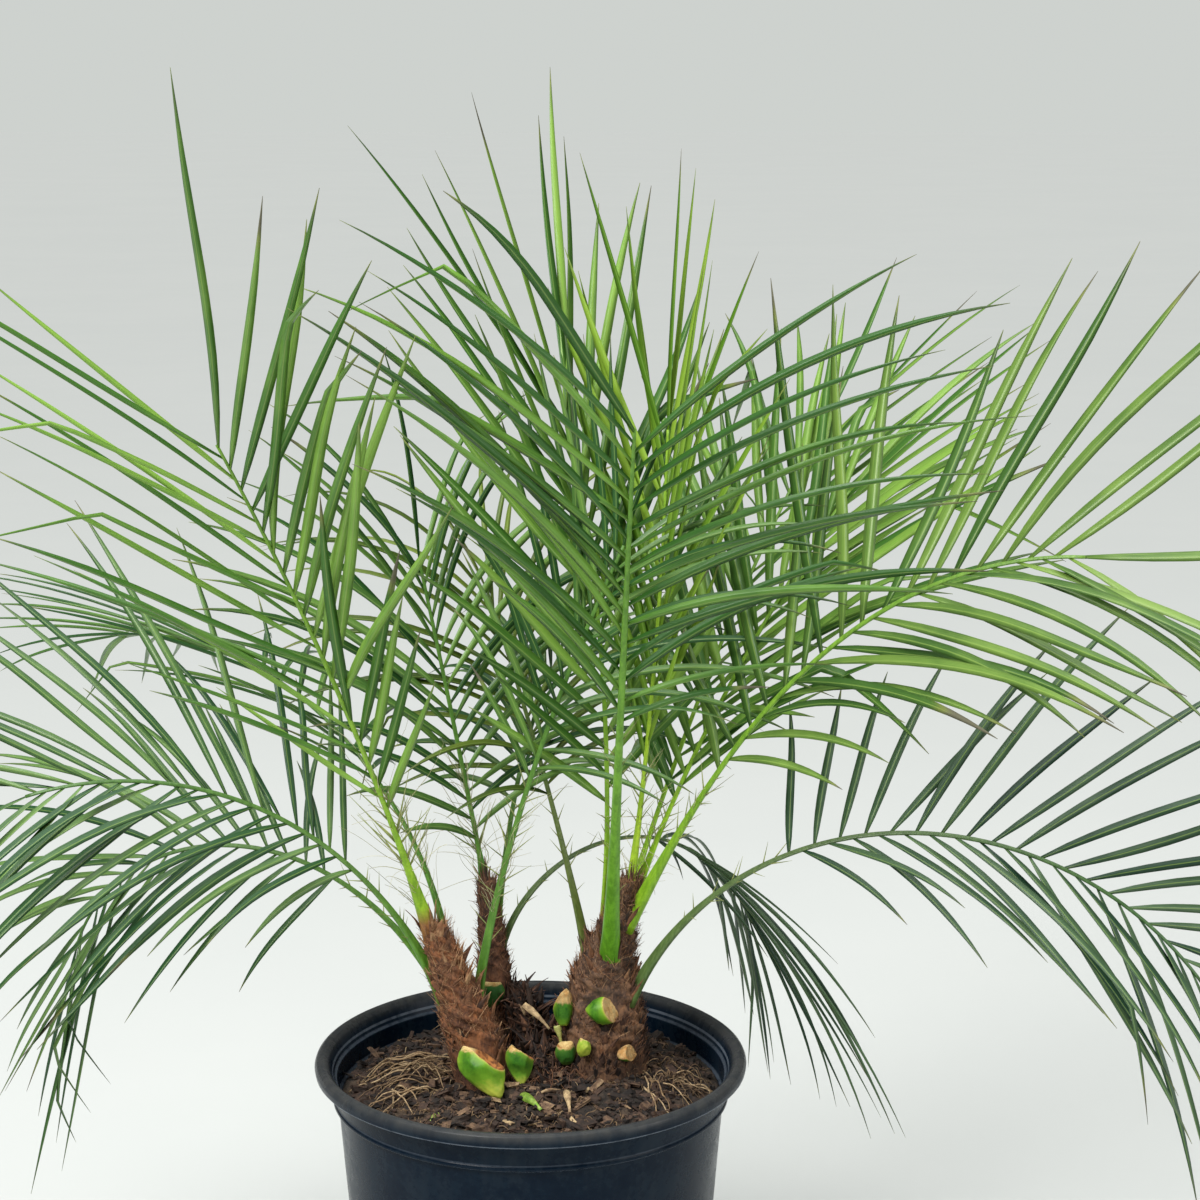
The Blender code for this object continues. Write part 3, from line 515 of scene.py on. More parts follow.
def ramped(tree, value, low, high, to_low=0.0, to_high=1.0):
    """A value carried smoothly from one range to another."""
    inputs = dict(enumerate((value, low, high, to_low, to_high)))
    return add_node(tree, "ShaderNodeMapRange", inputs, interpolation_type="SMOOTHSTEP").outputs[0]


def blended(tree, share, first, second, kind="MIX"):
    """Two colours mixed by a share."""
    inputs = {0: share, 6: first, 7: second}
    return add_node(tree, "ShaderNodeMix", inputs, data_type="RGBA", blend_type=kind).outputs[2]


def multiplied(tree, first, second):
    """Two colours multiplied."""
    return blended(tree, 1.0, first, second, "MULTIPLY")


def clouds(tree, place, scale, detail=3.0):
    """Soft noise at places, as a number."""
    inputs = {"Vector": place, "Scale": scale, "Detail": detail}
    return add_node(tree, "ShaderNodeTexNoise", inputs).outputs[0]


def height_of(tree, place):
    """The height of places."""
    return add_node(tree, "ShaderNodeSeparateXYZ", {0: place}).outputs["Z"]


def ramp_of(tree, value, stops):
    """A colour that a value picks from stops of (place, colour)."""
    made = add_node(tree, "ShaderNodeValToRGB", {0: value})
    while len(made.color_ramp.elements) < len(stops):
        made.color_ramp.elements.new(1.0)
    for element, (place, shade) in zip(made.color_ramp.elements, stops):
        element.position = place
        element.color = (*shade, 1.0)
    return made.outputs[0]


def new_group(name, inputs, outputs):
    """A shader node group with named inputs as (name, kind, value) and outputs as (name, kind)."""
    group = bpy.data.node_groups.new(name, "ShaderNodeTree")
    for label, kind, value in inputs:
        made = group.interface.new_socket(name=label, in_out="INPUT", socket_type="NodeSocket" + kind)
        if value is not None:
            made.default_value = value
    for label, kind in outputs:
        group.interface.new_socket(name=label, in_out="OUTPUT", socket_type="NodeSocket" + kind)
    entry, leave = group.nodes.new("NodeGroupInput"), group.nodes.new("NodeGroupOutput")
    return group, entry.outputs, leave.inputs


def make_mottle():
    """Patches of two colours with speckles: a broad and a fine noise, and their mean as height."""
    group, given, out = new_group(
        "mottle",
        [("Vector", "Vector", None), ("Scale", "Float", 60.0), ("Dark", "Color", None),
         ("Light", "Color", None)],
        [("Color", "Color"), ("Mask", "Float"), ("Height", "Float")])
    broad = clouds(group, given["Vector"], given["Scale"], 4.0)
    fine = clouds(group, given["Vector"], times(group, given["Scale"], 6.5))
    height = plus(group, times(group, broad, 0.6), times(group, fine, 0.4))
    mask = ramped(group, height, 0.36, 0.64)
    set_sockets(group, out, {
        "Color": blended(group, mask, given["Dark"], given["Light"]), "Mask": mask, "Height": height})
    return group


def make_streaks():
    """Long grain: noise on a vector squeezed along one direction, as lines of light and dark."""
    group, given, out = new_group(
        "streaks", [("Vector", "Vector", None), ("Stretch", "Vector", (600.0, 600.0, 40.0))],
        [("Mask", "Float"), ("Height", "Float")])
    squeezed = add_node(group, "ShaderNodeVectorMath", {0: given["Vector"], 1: given["Stretch"]},
                        operation="MULTIPLY").outputs[0]
    grain = clouds(group, squeezed, 1.0)
    set_sockets(group, out, {"Mask": ramped(group, grain, 0.35, 0.65), "Height": grain})
    return group


def make_blade():
    """Leaflet markings: veins, a paler midrib, a duller tip, and an end that yellows and dries unevenly."""
    group, given, out = new_group(
        "blade",
        [("Vector", "Vector", None), ("Along", "Float", 0.0), ("Across", "Float", 0.0),
         ("Tint", "Float", 0.5), ("Dryness", "Float", 0.3)],
        [(label, "Float") for label in ("Shade", "Midrib", "Dry", "Dead", "Tip", "Height")])
    along, across, tint = given["Along"], given["Across"], given["Tint"]
    veins = add_node(group, "ShaderNodeCombineXYZ", {
        "X": times(group, across, 7.0), "Y": times(group, along, 3.0), "Z": times(group, tint, 40.0)})
    lines = clouds(group, veins.outputs[0], 1.6)
    patches = clouds(group, given["Vector"], 28.0)
    shade = plus(group, times(group, lines, 0.45), times(group, patches, 0.45))
    shade = plus(group, shade, times(group, minus(group, tint, 0.5), 0.5))
    start = minus(group, 1.02, times(group, given["Dryness"], 0.30))
    ragged = plus(group, along, times(group, minus(group, lines, 0.5), 0.10))
    past = minus(group, ragged, start)
    set_sockets(group, out, {
        "Shade": ramped(group, shade, 0.25, 0.75),
        "Midrib": ramped(group, maths(group, "ABSOLUTE", across), 0.16, 0.04),
        "Dry": ramped(group, past, -0.06, 0.01),
        "Dead": ramped(group, past, -0.01, 0.05),
        "Tip": ramped(group, along, 0.80, 0.98),
        "Height": lines})
    return group


MOTTLE = make_mottle()
STREAKS = make_streaks()
BLADE = make_blade()


def new_finish(name, roughness, **uniform):
    """A material, its node tree and its Object coordinates, with uniform values set on its shader."""
    made = bpy.data.materials.new(name)
    made.use_nodes = True
    tree = made.node_tree
    uniform = {label.replace("_", " "): value for label, value in uniform.items()}
    set_sockets(tree, tree.nodes["Principled BSDF"].inputs, {"Roughness": roughness, **uniform})
    return made, tree, tree.nodes.new("ShaderNodeTexCoord").outputs["Object"]


def finished(made, tone, bump=None, roughness=None):
    """The material with a colour joined to it, a bump as (height, strength, distance) and a roughness."""
    tree = made.node_tree
    given = {"Base Color": tone}
    if bump is not None:
        inputs = dict(zip(("Height", "Strength", "Distance"), bump))
        given["Normal"] = add_node(tree, "ShaderNodeBump", inputs).outputs[0]
    if roughness is not None:
        given["Roughness"] = roughness
    set_sockets(tree, tree.nodes["Principled BSDF"].inputs, given)
    return made


def read(tree, name):
    """A number per point that the piece carries."""
    return add_node(tree, "ShaderNodeAttribute", attribute_name=name).outputs["Fac"]


def grouped(tree, group, **inputs):
    """A node group placed in a material with its own values."""
    return add_node(tree, "ShaderNodeGroup", inputs, node_tree=group).outputs


def mottled(tree, place, scale, dark, light):
    """The mottle group at places, with its scale and two colours."""
    return grouped(tree, MOTTLE, Vector=place, Scale=scale, Dark=dark, Light=light)


def streaked(tree, place, stretch):
    """The streaks group at places, with its stretch."""
    return grouped(tree, STREAKS, Vector=place, Stretch=stretch)


# Finishes


def pot_finish():
    """Moulded black plastic with a blue cast: semi-gloss, scuffed, a little dusty, with painted highlights as
    pale lines on its edges.
    """
    made, tree, place = new_finish("black_pot_plastic", 0.3, Specular_IOR_Level=0.09)
    scuffs = mottled(tree, place, 38.0, (0.0014, 0.0068, 0.0165), (0.0040, 0.0125, 0.0240))
    flow = streaked(tree, place, (130.0, 130.0, 9.0))
    dust = times(tree, scuffs["Mask"], times(tree, flow["Mask"], 0.10))
    tone = blended(tree, dust, scuffs["Color"], (0.060, 0.064, 0.066))
    height = height_of(tree, place)
    worn = times(tree, ramped(tree, height, 0.2335, 0.2400), ramped(tree, flow["Height"], -0.40, 0.90))
    tone = blended(tree, times(tree, worn, 0.95), tone, (0.056, 0.056, 0.053))
    level = add_node(tree, "ShaderNodeVectorMath", {0: place, 1: (1.0, 1.0, 0.0)}, operation="MULTIPLY")
    radius = add_node(tree, "ShaderNodeVectorMath", {0: level.outputs[0]}, operation="LENGTH")
    outer = ramped(tree, radius.outputs["Value"], 0.1274, 0.1280)

    def lines_at(heights):
        """Mask of two thin lines round the pot."""
        away = [maths(tree, "ABSOLUTE", minus(tree, height, value)) for value in heights]
        return maths(tree, "MAXIMUM", *[ramped(tree, value, 0.0010, 0.0005) for value in away])

    # Painted highlights: pale, patchy lines where light catches the lip's lower edge and the band's foot,
    # fainter on the inner ledges
    edges = times(tree, outer, lines_at(HIGHLIGHT_HEIGHTS_OUTSIDE))
    ledges = times(tree, minus(tree, 1.0, outer), lines_at(HIGHLIGHT_HEIGHTS_INSIDE))
    painted_highlights = plus(tree, edges, times(tree, ledges, 0.4))
    painted_highlights = times(tree, painted_highlights, ramped(tree, flow["Height"], 0.10, 0.55))
    tone = blended(tree, painted_highlights, tone, (0.105, 0.125, 0.155))
    roughness = plus(tree, 0.20, times(tree, scuffs["Mask"], 0.14))
    return finished(made, tone, (flow["Height"], 0.05, 0.0005), roughness)


def soil_finish():
    """Damp bark mulch: near-black to brown patches with coarse crumbs."""
    made, tree, place = new_finish("damp_mulch", 0.92)
    ground = mottled(tree, place, 75.0, (0.008, 0.006, 0.005), (0.075, 0.050, 0.033))
    damp = mottled(tree, place, 17.0, (0.55, 0.56, 0.58), (1.15, 1.1, 1.0))
    return finished(made, multiplied(tree, ground["Color"], damp["Color"]), (ground["Height"], 0.8, 0.003))


def tinted_finish(name, stops, roughness, stretch, strength):
    """A fibrous finish whose colour each strand or chip picks by its own tint, broken up by grain."""
    made, tree, place = new_finish(name, roughness)
    grain = streaked(tree, place, stretch)
    patches = mottled(tree, place, 160.0, (0.62, 0.58, 0.55), (1.15, 1.12, 1.1))
    pick = plus(tree, read(tree, "tint"), times(tree, minus(tree, grain["Mask"], 0.5), 0.22))
    tone = multiplied(tree, ramp_of(tree, pick, stops), patches["Color"])
    return finished(made, tone, (grain["Height"], strength, 0.0006))


def trunk_finish(name, dark, light, streak):
    """Old sheaths on a trunk: fine and broad patches of two browns, streaks along it, and painted shade low
    down by the soil.
    """
    made, tree, place = new_finish(name, 0.85)
    grain = streaked(tree, place, (520.0, 520.0, 55.0))
    patches = mottled(tree, place, 85.0, dark, light)
    broad = mottled(tree, place, 24.0, (0.60, 0.62, 0.68), (1.30, 1.18, 1.05))
    tone = blended(tree, times(tree, grain["Mask"], 0.5), patches["Color"], streak)
    # Painted shade: the trunk darkened towards its foot by the soil
    low = ramped(tree, height_of(tree, place), 0.275, 0.240, 0.0, 0.45)
    tone = blended(tree, low, multiplied(tree, tone, broad["Color"]), (0.030, 0.018, 0.012))
    return finished(made, tone, (grain["Height"], 0.9, 0.0015))


def leaf_base_finish():
    """A cut leaf base: green skin with yellow margins, cream flesh where it is cut, tanned where dried."""
    made, tree, place = new_finish("cut_leaf_base", 0.5, Specular_IOR_Level=0.20)
    cut, margin = read(tree, "cut"), read(tree, "margin")
    grain = streaked(tree, place, (420.0, 420.0, 90.0))
    skin = mottled(tree, place, 95.0, (0.018, 0.095, 0.006), (0.065, 0.230, 0.010))
    specks = ramped(tree, mottled(tree, place, 520.0, (0.0, 0.0, 0.0), (1.0, 1.0, 1.0))["Height"], 0.60, 0.70)
    outside = blended(tree, times(tree, grain["Mask"], 0.22), skin["Color"], (0.17, 0.38, 0.025))
    outside = blended(tree, times(tree, specks, 0.6), outside, (0.045, 0.050, 0.012))
    outside = blended(tree, ramped(tree, margin, 0.10, 0.75), outside, (0.18, 0.37, 0.022))
    outside = blended(tree, ramped(tree, margin, 0.60, 1.05), outside, (0.50, 0.55, 0.07))
    outside = blended(tree, read(tree, "shade"), outside, (0.020, 0.085, 0.028))
    flesh = mottled(tree, place, 210.0, (0.52, 0.31, 0.10), (0.82, 0.65, 0.30))
    tanned = blended(tree, grain["Mask"], (0.12, 0.045, 0.018), (0.42, 0.17, 0.050))
    inside = blended(tree, read(tree, "tint"), flesh["Color"], tanned)
    roughness = plus(tree, 0.42, times(tree, cut, 0.4))
    return finished(made, blended(tree, cut, outside, inside), (grain["Height"], 0.22, 0.0006), roughness)


def leaf_finish(name, dark, light):
    """A leaflet: two greens, veins, a pale midrib, a duller tip, and an end that yellows and dries brown."""
    made, tree, place = new_finish(name, 0.40, Specular_IOR_Level=0.30)
    numbers = {label: read(tree, label.lower()) for label in ("Along", "Across", "Tint", "Dryness")}
    marks = grouped(tree, BLADE, Vector=place, **numbers)
    tone = blended(tree, marks["Shade"], dark, light)
    tone = blended(tree, times(tree, marks["Midrib"], 0.45), tone, (0.30, 0.42, 0.10))
    tone = blended(tree, times(tree, marks["Tip"], 0.55), tone, (0.085, 0.088, 0.052))
    tone = blended(tree, times(tree, marks["Dry"], 0.70), tone, (0.22, 0.24, 0.060))
    tone = blended(tree, marks["Dead"], tone, (0.118, 0.112, 0.070))
    roughness = plus(tree, 0.33, times(tree, marks["Dead"], 0.45))
    return finished(made, tone, (marks["Height"], 0.25, 0.0004), roughness)


def stalk_finish(name, foot, upper, tip, sheath=None):
    """A rib with flecks and lines: greens at its foot, up the stalk and among the leaflets.

    Where a sheath's brown is given, the lowest part has that.
    """
    made, tree, place = new_finish(name, 0.34, Specular_IOR_Level=0.32)
    start = [(0.0, sheath), (0.052, sheath), (0.085, foot)] if sheath else [(0.0, foot)]
    tone = ramp_of(tree, read(tree, "along"), [*start, (0.30, upper), (0.85, tip)])
    flecks = mottled(tree, place, 90.0, (0.80, 0.82, 0.74), (1.10, 1.08, 1.05))
    grain = streaked(tree, place, (420.0, 420.0, 22.0))
    lines = blended(tree, grain["Mask"], (0.80, 0.84, 0.80), (1.12, 1.08, 1.10))
    tone = multiplied(tree, multiplied(tree, tone, flecks["Color"]), lines)
    return finished(made, tone, (grain["Height"], 0.35, 0.0005))


# Pot


def rounded(profile, radius):
    """A profile with each corner b rounded from a to c by a Bezier curve: (1-t)^2 a + 2t(1-t) b + t^2 c."""
    profile = np.array(profile)
    curve = [profile[0]]
    for before, corner, after in zip(profile, profile[1:], profile[2:]):
        reach = [min(radius, 0.4 * np.linalg.norm(side - corner)) for side in (before, after)]
        start = corner + unit(before - corner) * reach[0]
        end = corner + unit(after - corner) * reach[1]
        t = np.linspace(0, 1, 5)[:, None]
        curve.extend((1 - t) ** 2 * start + 2 * t * (1 - t) * corner + t ** 2 * end)
    return np.array(curve + [profile[-1]])


def inner_wall_radius(height):
    """Radius of the pot's inner wall below its ledges."""
    share = (height - FLOOR) / (POT_HEIGHT - LEDGE_DEPTHS[1] - FLOOR)
    return FOOT_RADIUS - WALL + (WALL_TOP_RADIUS - FOOT_RADIUS) * share


def pot_profile():
    """From the middle of the floor up the inner wall, over the lip and down the outer wall."""
    low_ledge = POT_HEIGHT - LEDGE_DEPTHS[1]
    high_ledge = POT_HEIGHT - LEDGE_DEPTHS[0]
    inner_top = inner_wall_radius(low_ledge)
    lip_foot = POT_HEIGHT - LIP_CURVE[-1][1]
    band_foot = POT_HEIGHT - BAND_DEPTH
    inside = [
        (0.0, FLOOR),
        (inner_wall_radius(FLOOR), FLOOR),
        (inner_top, low_ledge - LEDGE_SLANT),
        (inner_top + LEDGE_STEP, low_ledge),
        (inner_top + LEDGE_STEP + LEDGE_SLANT / 2, high_ledge - LEDGE_SLANT),
        (inner_top + 2 * LEDGE_STEP, high_ledge),
    ]
    lip = [(LIP_RADIUS - inwards, POT_HEIGHT - below) for inwards, below in LIP_CURVE]
    outside = [
        (BAND_TOP_RADIUS + 0.0006, lip_foot + 0.0003),
        (BAND_TOP_RADIUS + 0.0008, lip_foot - 0.0012),
        (BAND_TOP_RADIUS - 0.0004, lip_foot - 0.0024),
        (BAND_FOOT_RADIUS + 0.0003, band_foot + 0.0040),
        (BAND_FOOT_RADIUS + 0.0014, band_foot + 0.0026),
        (BAND_FOOT_RADIUS + 0.0014, band_foot + LEDGE_SLANT),
        (BAND_FOOT_RADIUS - 0.0002, band_foot),
        (WALL_TOP_RADIUS, band_foot - 0.0006),
        (FOOT_RADIUS, FOOT_BEVEL),
        (FOOT_RADIUS - FOOT_BEVEL, 0.0),
        (0.0, 0.0),
    ]
    return inside + lip + outside


def turned_surface(profile, sides):
    """A profile of (radius, height) carried round Z: x = r cos, y = r sin."""
    turn = full_circle(sides)
    radius, height = np.array(profile).T
    return np.stack([
        radius[:, None] * np.cos(turn), radius[:, None] * np.sin(turn),
        np.broadcast_to(height[:, None], (len(radius), sides))], axis=-1)


def make_pot():
    """The pot turned finely, with its drain holes cut at the foot."""
    points = turned_surface(rounded(pot_profile(), 0.0009), POT_SIDES)
    finish = pot_finish()
    pot = add_piece("nursery_pot", points, [grid_faces(len(points), POT_SIDES, wrap=True)], [finish])
    holes = bpy.data.collections.new("drain_holes")
    for k in range(DRAIN_HOLES):
        turn = 2 * pi * (k + 0.5) / DRAIN_HOLES
        shape = bmesh.new()
        bmesh.ops.create_cone(
            shape, cap_ends=True, segments=28, radius1=DRAIN_RADIUS, radius2=DRAIN_RADIUS, depth=0.020)
        data = bpy.data.meshes.new(f"drain_hole_{k + 1}")
        shape.to_mesh(data)
        shape.free()
        data.transform(Matrix.Translation((FOOT_RADIUS * cos(turn), FOOT_RADIUS * sin(turn), 0.001)))
        data.materials.append(finish)
        holes.objects.link(bpy.data.objects.new(f"drain_hole_{k + 1}", data))
    step = pot.modifiers.new("drain", "BOOLEAN")
    step.operation = "DIFFERENCE"
    step.operand_type = "COLLECTION"
    step.collection = holes
    step.solver = "EXACT"
    graph = bpy.context.evaluated_depsgraph_get()
    data = bpy.data.meshes.new_from_object(pot.evaluated_get(graph), depsgraph=graph)
    pot.modifiers.clear()
    pot.data = data
    data.shade_smooth()
    data.set_sharp_from_angle(angle=radians(50))
    for item in list(holes.objects):
        bpy.data.objects.remove(item, do_unlink=True)
    bpy.data.collections.remove(holes)
    settle(pot, "pot_black", "pot")


# Soil, mulch and roots


def soil_height(x, y):
    """Top of the soil at a place: the solid's mound and lumps with finer lumps on them."""
    edge = inner_wall_radius(SOIL_EDGE) - GAP
    inside = np.clip(1 - (x ** 2 + y ** 2) / edge ** 2, 0.0, 1.0)
    first, second, third = [x * wave_x + y * wave_y for wave_x, wave_y in SOIL_WAVES]
    lump = np.sin(first) * np.cos(second) + 0.5 * np.sin(third)
    fine = noise(np.stack([x, y, 0 * x], axis=-1), 130.0, 3, 4) * 0.0026 * np.clip(inside * 12, 0, 1)
    settled = SOIL_EDGE - 0.004 * (1 - inside) ** 2
    return settled + SOIL_MOUND * inside ** 0.8 + SOIL_LUMP * lump * np.sqrt(inside) + fine


def make_soil():
    """Soil as a plug: rings of (radius, turn) at soil_height, then down the wall and in over the floor."""
    sides = 240
    edge = inner_wall_radius(SOIL_EDGE) - GAP
    radius = edge * np.linspace(0, 1, 90)
    turn = full_circle(sides)
    x, y = radius[:, None] * np.cos(turn), radius[:, None] * np.sin(turn)
    top = np.stack([x, y, soil_height(x, y)], axis=-1)
    foot = FLOOR + GAP
    low = turned_surface([(inner_wall_radius(foot) - GAP, foot), (0.0, foot)], sides)
    points = np.concatenate([top, low])
    soil = add_piece("mulch_bed", points, [grid_faces(len(points), sides, wrap=True)], [soil_finish()])
    settle(soil, "bark_mulch", "soil")


def ground_height(x, y):
    """Top of the soil and of the heap on it, whose bells are height exp(-(dx / reach)^2 - (dy / reach)^2)."""
    total = soil_height(x, y)
    for middle_x, middle_y, reach_x, reach_y, height in HEAPS:
        total = total + height * np.exp(-((x - middle_x) / reach_x) ** 2 - ((y - middle_y) / reach_y) ** 2)
    return total


def make_heap(finish):
    """The heap's body: rings of (radius, turn) at ground_height with deep noise, closed below."""
    sides = 96
    radius = np.append(np.linspace(0, 1, 46), 0.0)[:, None]
    turn = full_circle(sides)
    x = HEAP_MIDDLE[0] + HEAP_REACH[0] * radius * np.cos(turn)
    y = HEAP_MIDDLE[1] + HEAP_REACH[1] * radius * np.sin(turn)
    rough = noise(np.stack([x, y, 0 * x], axis=-1), 260.0, 8, 4) * 0.0045 * (1 - radius ** 4)
    z = ground_height(x, y) + rough - 0.004 * radius ** 4
    z[-1] = SOIL_EDGE
    points = np.stack([x, y, z], axis=-1)
    heap = add_piece("dead_sheath_heap", points, [grid_faces(len(points), sides, wrap=True)], [finish],
                     {"tint": 0.12 + 0.25 * noise(points, 180.0, 5, 2)})
    settle(heap, "trunk_fibre")


def outside_trunks(x, y, margin=0.002):
    """Whether a place on the soil is clear of all the trunks."""
    clear = np.ones(np.shape(x), bool)
    for table in TRUNKS.values():
        clear &= np.hypot(x - table[1][0], y - table[1][1]) > table[1][3] + margin
    return clear


def scattered(draw, count, reach):
    """Places on the soil, evenly by area inside a reach and clear of the trunks."""
    radius = reach * np.sqrt(draw.random(3 * count))
    turn = 2 * pi * draw.random(3 * count)
    x, y = radius * np.cos(turn), radius * np.sin(turn)
    kept = np.flatnonzero(outside_trunks(x, y))[:count]
    return x[kept], y[kept]


def make_chips(name, count, sizes, seed, finish, tints, lift=0.3):
    """Bark chips: boxes with jittered corners, each turned its own way on the soil, with painted shade that
    darkens them towards the left and right.
    """
    draw = np.random.default_rng(seed)
    x, y = scattered(draw, count, MULCH_REACH)
    count = len(x)
    size = np.array(sizes) * np.exp(draw.normal(size=(count, 3)) * 0.35)
    size = np.minimum(size, 3 * np.array(sizes))
    corners = np.array(list(np.ndindex(2, 2, 2))) - 0.5
    forms = corners[None] * size[:, None] * (1 + draw.normal(size=(count, 8, 3)) * 0.22)
    yaw = draw.random(count) * 2 * pi
    pitch = draw.normal(size=count) * 0.28
    roll = draw.normal(size=count) * 0.35
    for axis, angle in (((1, 0, 0), roll), ((0, 1, 0), pitch), ((0, 0, 1), yaw)):
        forms = spun(forms, np.array(axis, float), np.repeat(angle[:, None], 8, axis=1))
    place = np.stack([x, y, ground_height(x, y) + lift * size[:, 2]], axis=-1)
    quads = np.array([(0, 1, 3, 2), (4, 6, 7, 5), (0, 4, 5, 1), (2, 3, 7, 6), (0, 2, 6, 4), (1, 5, 7, 3)])
    # Painted shade: the chips' tint lowered towards the left and right, where the pot's walls and the fronds
    # shade the soil
    sides = 1 - 0.40 * np.interp(np.abs(x), (0.045, 0.100), (0.0, 1.0))
    tint = np.repeat((draw.choice(tints, size=count) + draw.normal(size=count) * 0.05) * sides, 8)
    piece = add_piece(name, forms + place[:, None], [repeated(quads, count, 8)], [finish], {"tint": tint},
                      weld=False, flat=True)
    settle(piece, "bark_mulch")


def make_roots(name, seed, groups, finish):
    """Surface roots: lines that wander over the soil, arch off it on their way and thin to their ends."""
    draw = np.random.default_rng(seed)
    stations = 20
    t = np.linspace(0, 1, stations)[None]
    lines, radii, tints = [], [], []
    for group in groups:
        count = group["count"]
        start = np.stack([draw.uniform(*group["x"], count), draw.uniform(*group["y"], count)], axis=-1)
        length = draw.uniform(*group["reach"], (count, 1))
        wander = np.cumsum(draw.normal(size=(count, stations)) * group["wander"], axis=1)
        angle = radians(group["heading"]) + draw.normal(size=(count, 1)) * group["fan"] + wander
        x = start[:, :1] + np.cumsum(np.cos(angle) * length / stations, axis=1)
        y = start[:, 1:] + np.cumsum(np.sin(angle) * length / stations, axis=1)
        shrink = np.minimum(1.0, ROOT_REACH / np.maximum(np.hypot(x, y), 1e-9))
        x, y = x * shrink, y * shrink
        arch = draw.uniform(*group["rise"], (count, 1)) * np.sin(pi * t ** draw.uniform(0.7, 1.5, (count, 1)))
        ripple = draw.uniform(0, 0.0016, (count, 1)) * np.sin(2 * pi * (2 * t + draw.random((count, 1))))
        z = ground_height(x, y) + 0.0006 + np.maximum(arch + ripple, -0.001)
        lines.append(np.stack([x, y, z], axis=-1))
        thick = draw.uniform(*group["thick"], (count, 1))
        radii.append(thick * (1 - 0.6 * t) * (1 + 0.12 * draw.normal(size=(count, stations))))
        tints.append(draw.normal(group["tint"], 0.16, count))
    points, faces, owner = strands(np.concatenate(lines), np.clip(np.concatenate(radii), 0.00018, None), 4)
    tint = np.clip(np.concatenate(tints), 0, 1)[owner]
    piece = add_piece(name, points, faces, [finish], {"tint": tint}, weld=False)
    settle(piece, "bark_mulch")


# Trunks


def trunk_path(name, levels):
    """Centre and radius of a trunk at heights, read from its table."""
    table = np.array(TRUNKS[name])
    heights = table[:, 2]
    grid = np.linspace(heights[0], heights[-1], 60)
    columns = [np.interp(grid, heights, table[:, k]) for k in (0, 1, 3)]
    for column in columns:
        for _ in range(6):
            column[1:-1] = 0.25 * column[:-2] + 0.5 * column[1:-1] + 0.25 * column[2:]
    return [np.interp(levels, grid, column) for column in columns]


def inside_bases(place, reach):
    """How far places lie inside the cut leaf bases: 1 well in, falling to 0 at reach times a base's size."""
    share = np.zeros(place.shape[:-1])
    for row in LEAF_BASES:
        away = np.linalg.norm((place - row["middle"]) / (0.5 * np.array(row["size"])), axis=-1)
        share = np.maximum(share, np.clip((reach - away) / 0.4, 0, 1))
    return share


def trunk_surface(name, turn, levels):
    """Points of a trunk's skin at turns and heights: its radius, the solid's relief, and ragged sheath edges.

    Behind the cut leaf bases the skin is smooth and sunk a little.
    """
    x, y, radius = trunk_path(name, levels)
    height = levels - RELIEF_START
    top = TRUNKS[name][-1][2]
    fading = np.clip(height / 0.010, 0.0, 1.0) * np.clip((top - levels) / 0.015, 0.0, 1.0)
    climb = 2 * pi * height / RELIEF_PITCH
    bump = np.sin(RELIEF_ROWS * turn + climb) * np.cos(2 * climb + 0.5 * RELIEF_ROWS * turn)
    around = np.stack([np.cos(turn) * radius, np.sin(turn) * radius, levels * 0.35], axis=-1)
    rough = noise(around, 520.0, 5, 3)
    sheath = (levels / 0.011 + 0.5 * np.sin(2 * turn) + 0.25 * noise(around, 150.0, 9, 2)) % 1.0
    skin = np.stack([x + np.cos(turn) * radius, y + np.sin(turn) * radius, levels], axis=-1)
    held = inside_bases(skin, 1.5)
    relief = RELIEF * bump + 0.0012 * rough + 0.0007 * (0.5 - sheath)
    reach = radius + fading * relief * (1 - held) - BASE_SEAT * held
    return np.stack([x + reach * np.cos(turn), y + reach * np.sin(turn), levels], axis=-1)


def make_trunk(name, piece_name, finish):
    """A trunk's matted skin on a grid of (height, turn), closed at its foot and crown."""
    sides = 112
    turn = full_circle(sides)
    low, high = TRUNKS[name][0][2], TRUNKS[name][-1][2]
    levels = np.concatenate([[low], np.linspace(0.226, high, 110)])
    skin = trunk_surface(name, np.broadcast_to(turn, (len(levels), sides)),
                         np.broadcast_to(levels[:, None], (len(levels), sides)))
    foot = np.broadcast_to(skin[:1].mean(axis=1, keepdims=True), (1, sides, 3))
    crown = np.broadcast_to(skin[-1:].mean(axis=1, keepdims=True), (1, sides, 3))
    points = np.concatenate([foot, skin, crown])
    piece = add_piece(piece_name, points, [grid_faces(len(points), sides, wrap=True)], [finish])
    settle(piece, "trunk_fibre", name)


def rooted(name, turn, level):
    """Places on a trunk's skin clear of the cut leaf bases: points, heights, and the directions out there."""
    root = trunk_surface(name, turn, level)
    bare = inside_bases(root, 1.35) == 0
    root, level = root[bare], level[bare]
    x, y, _ = trunk_path(name, level)
    return root, level, unit(root - np.stack([x, y, level], axis=-1))


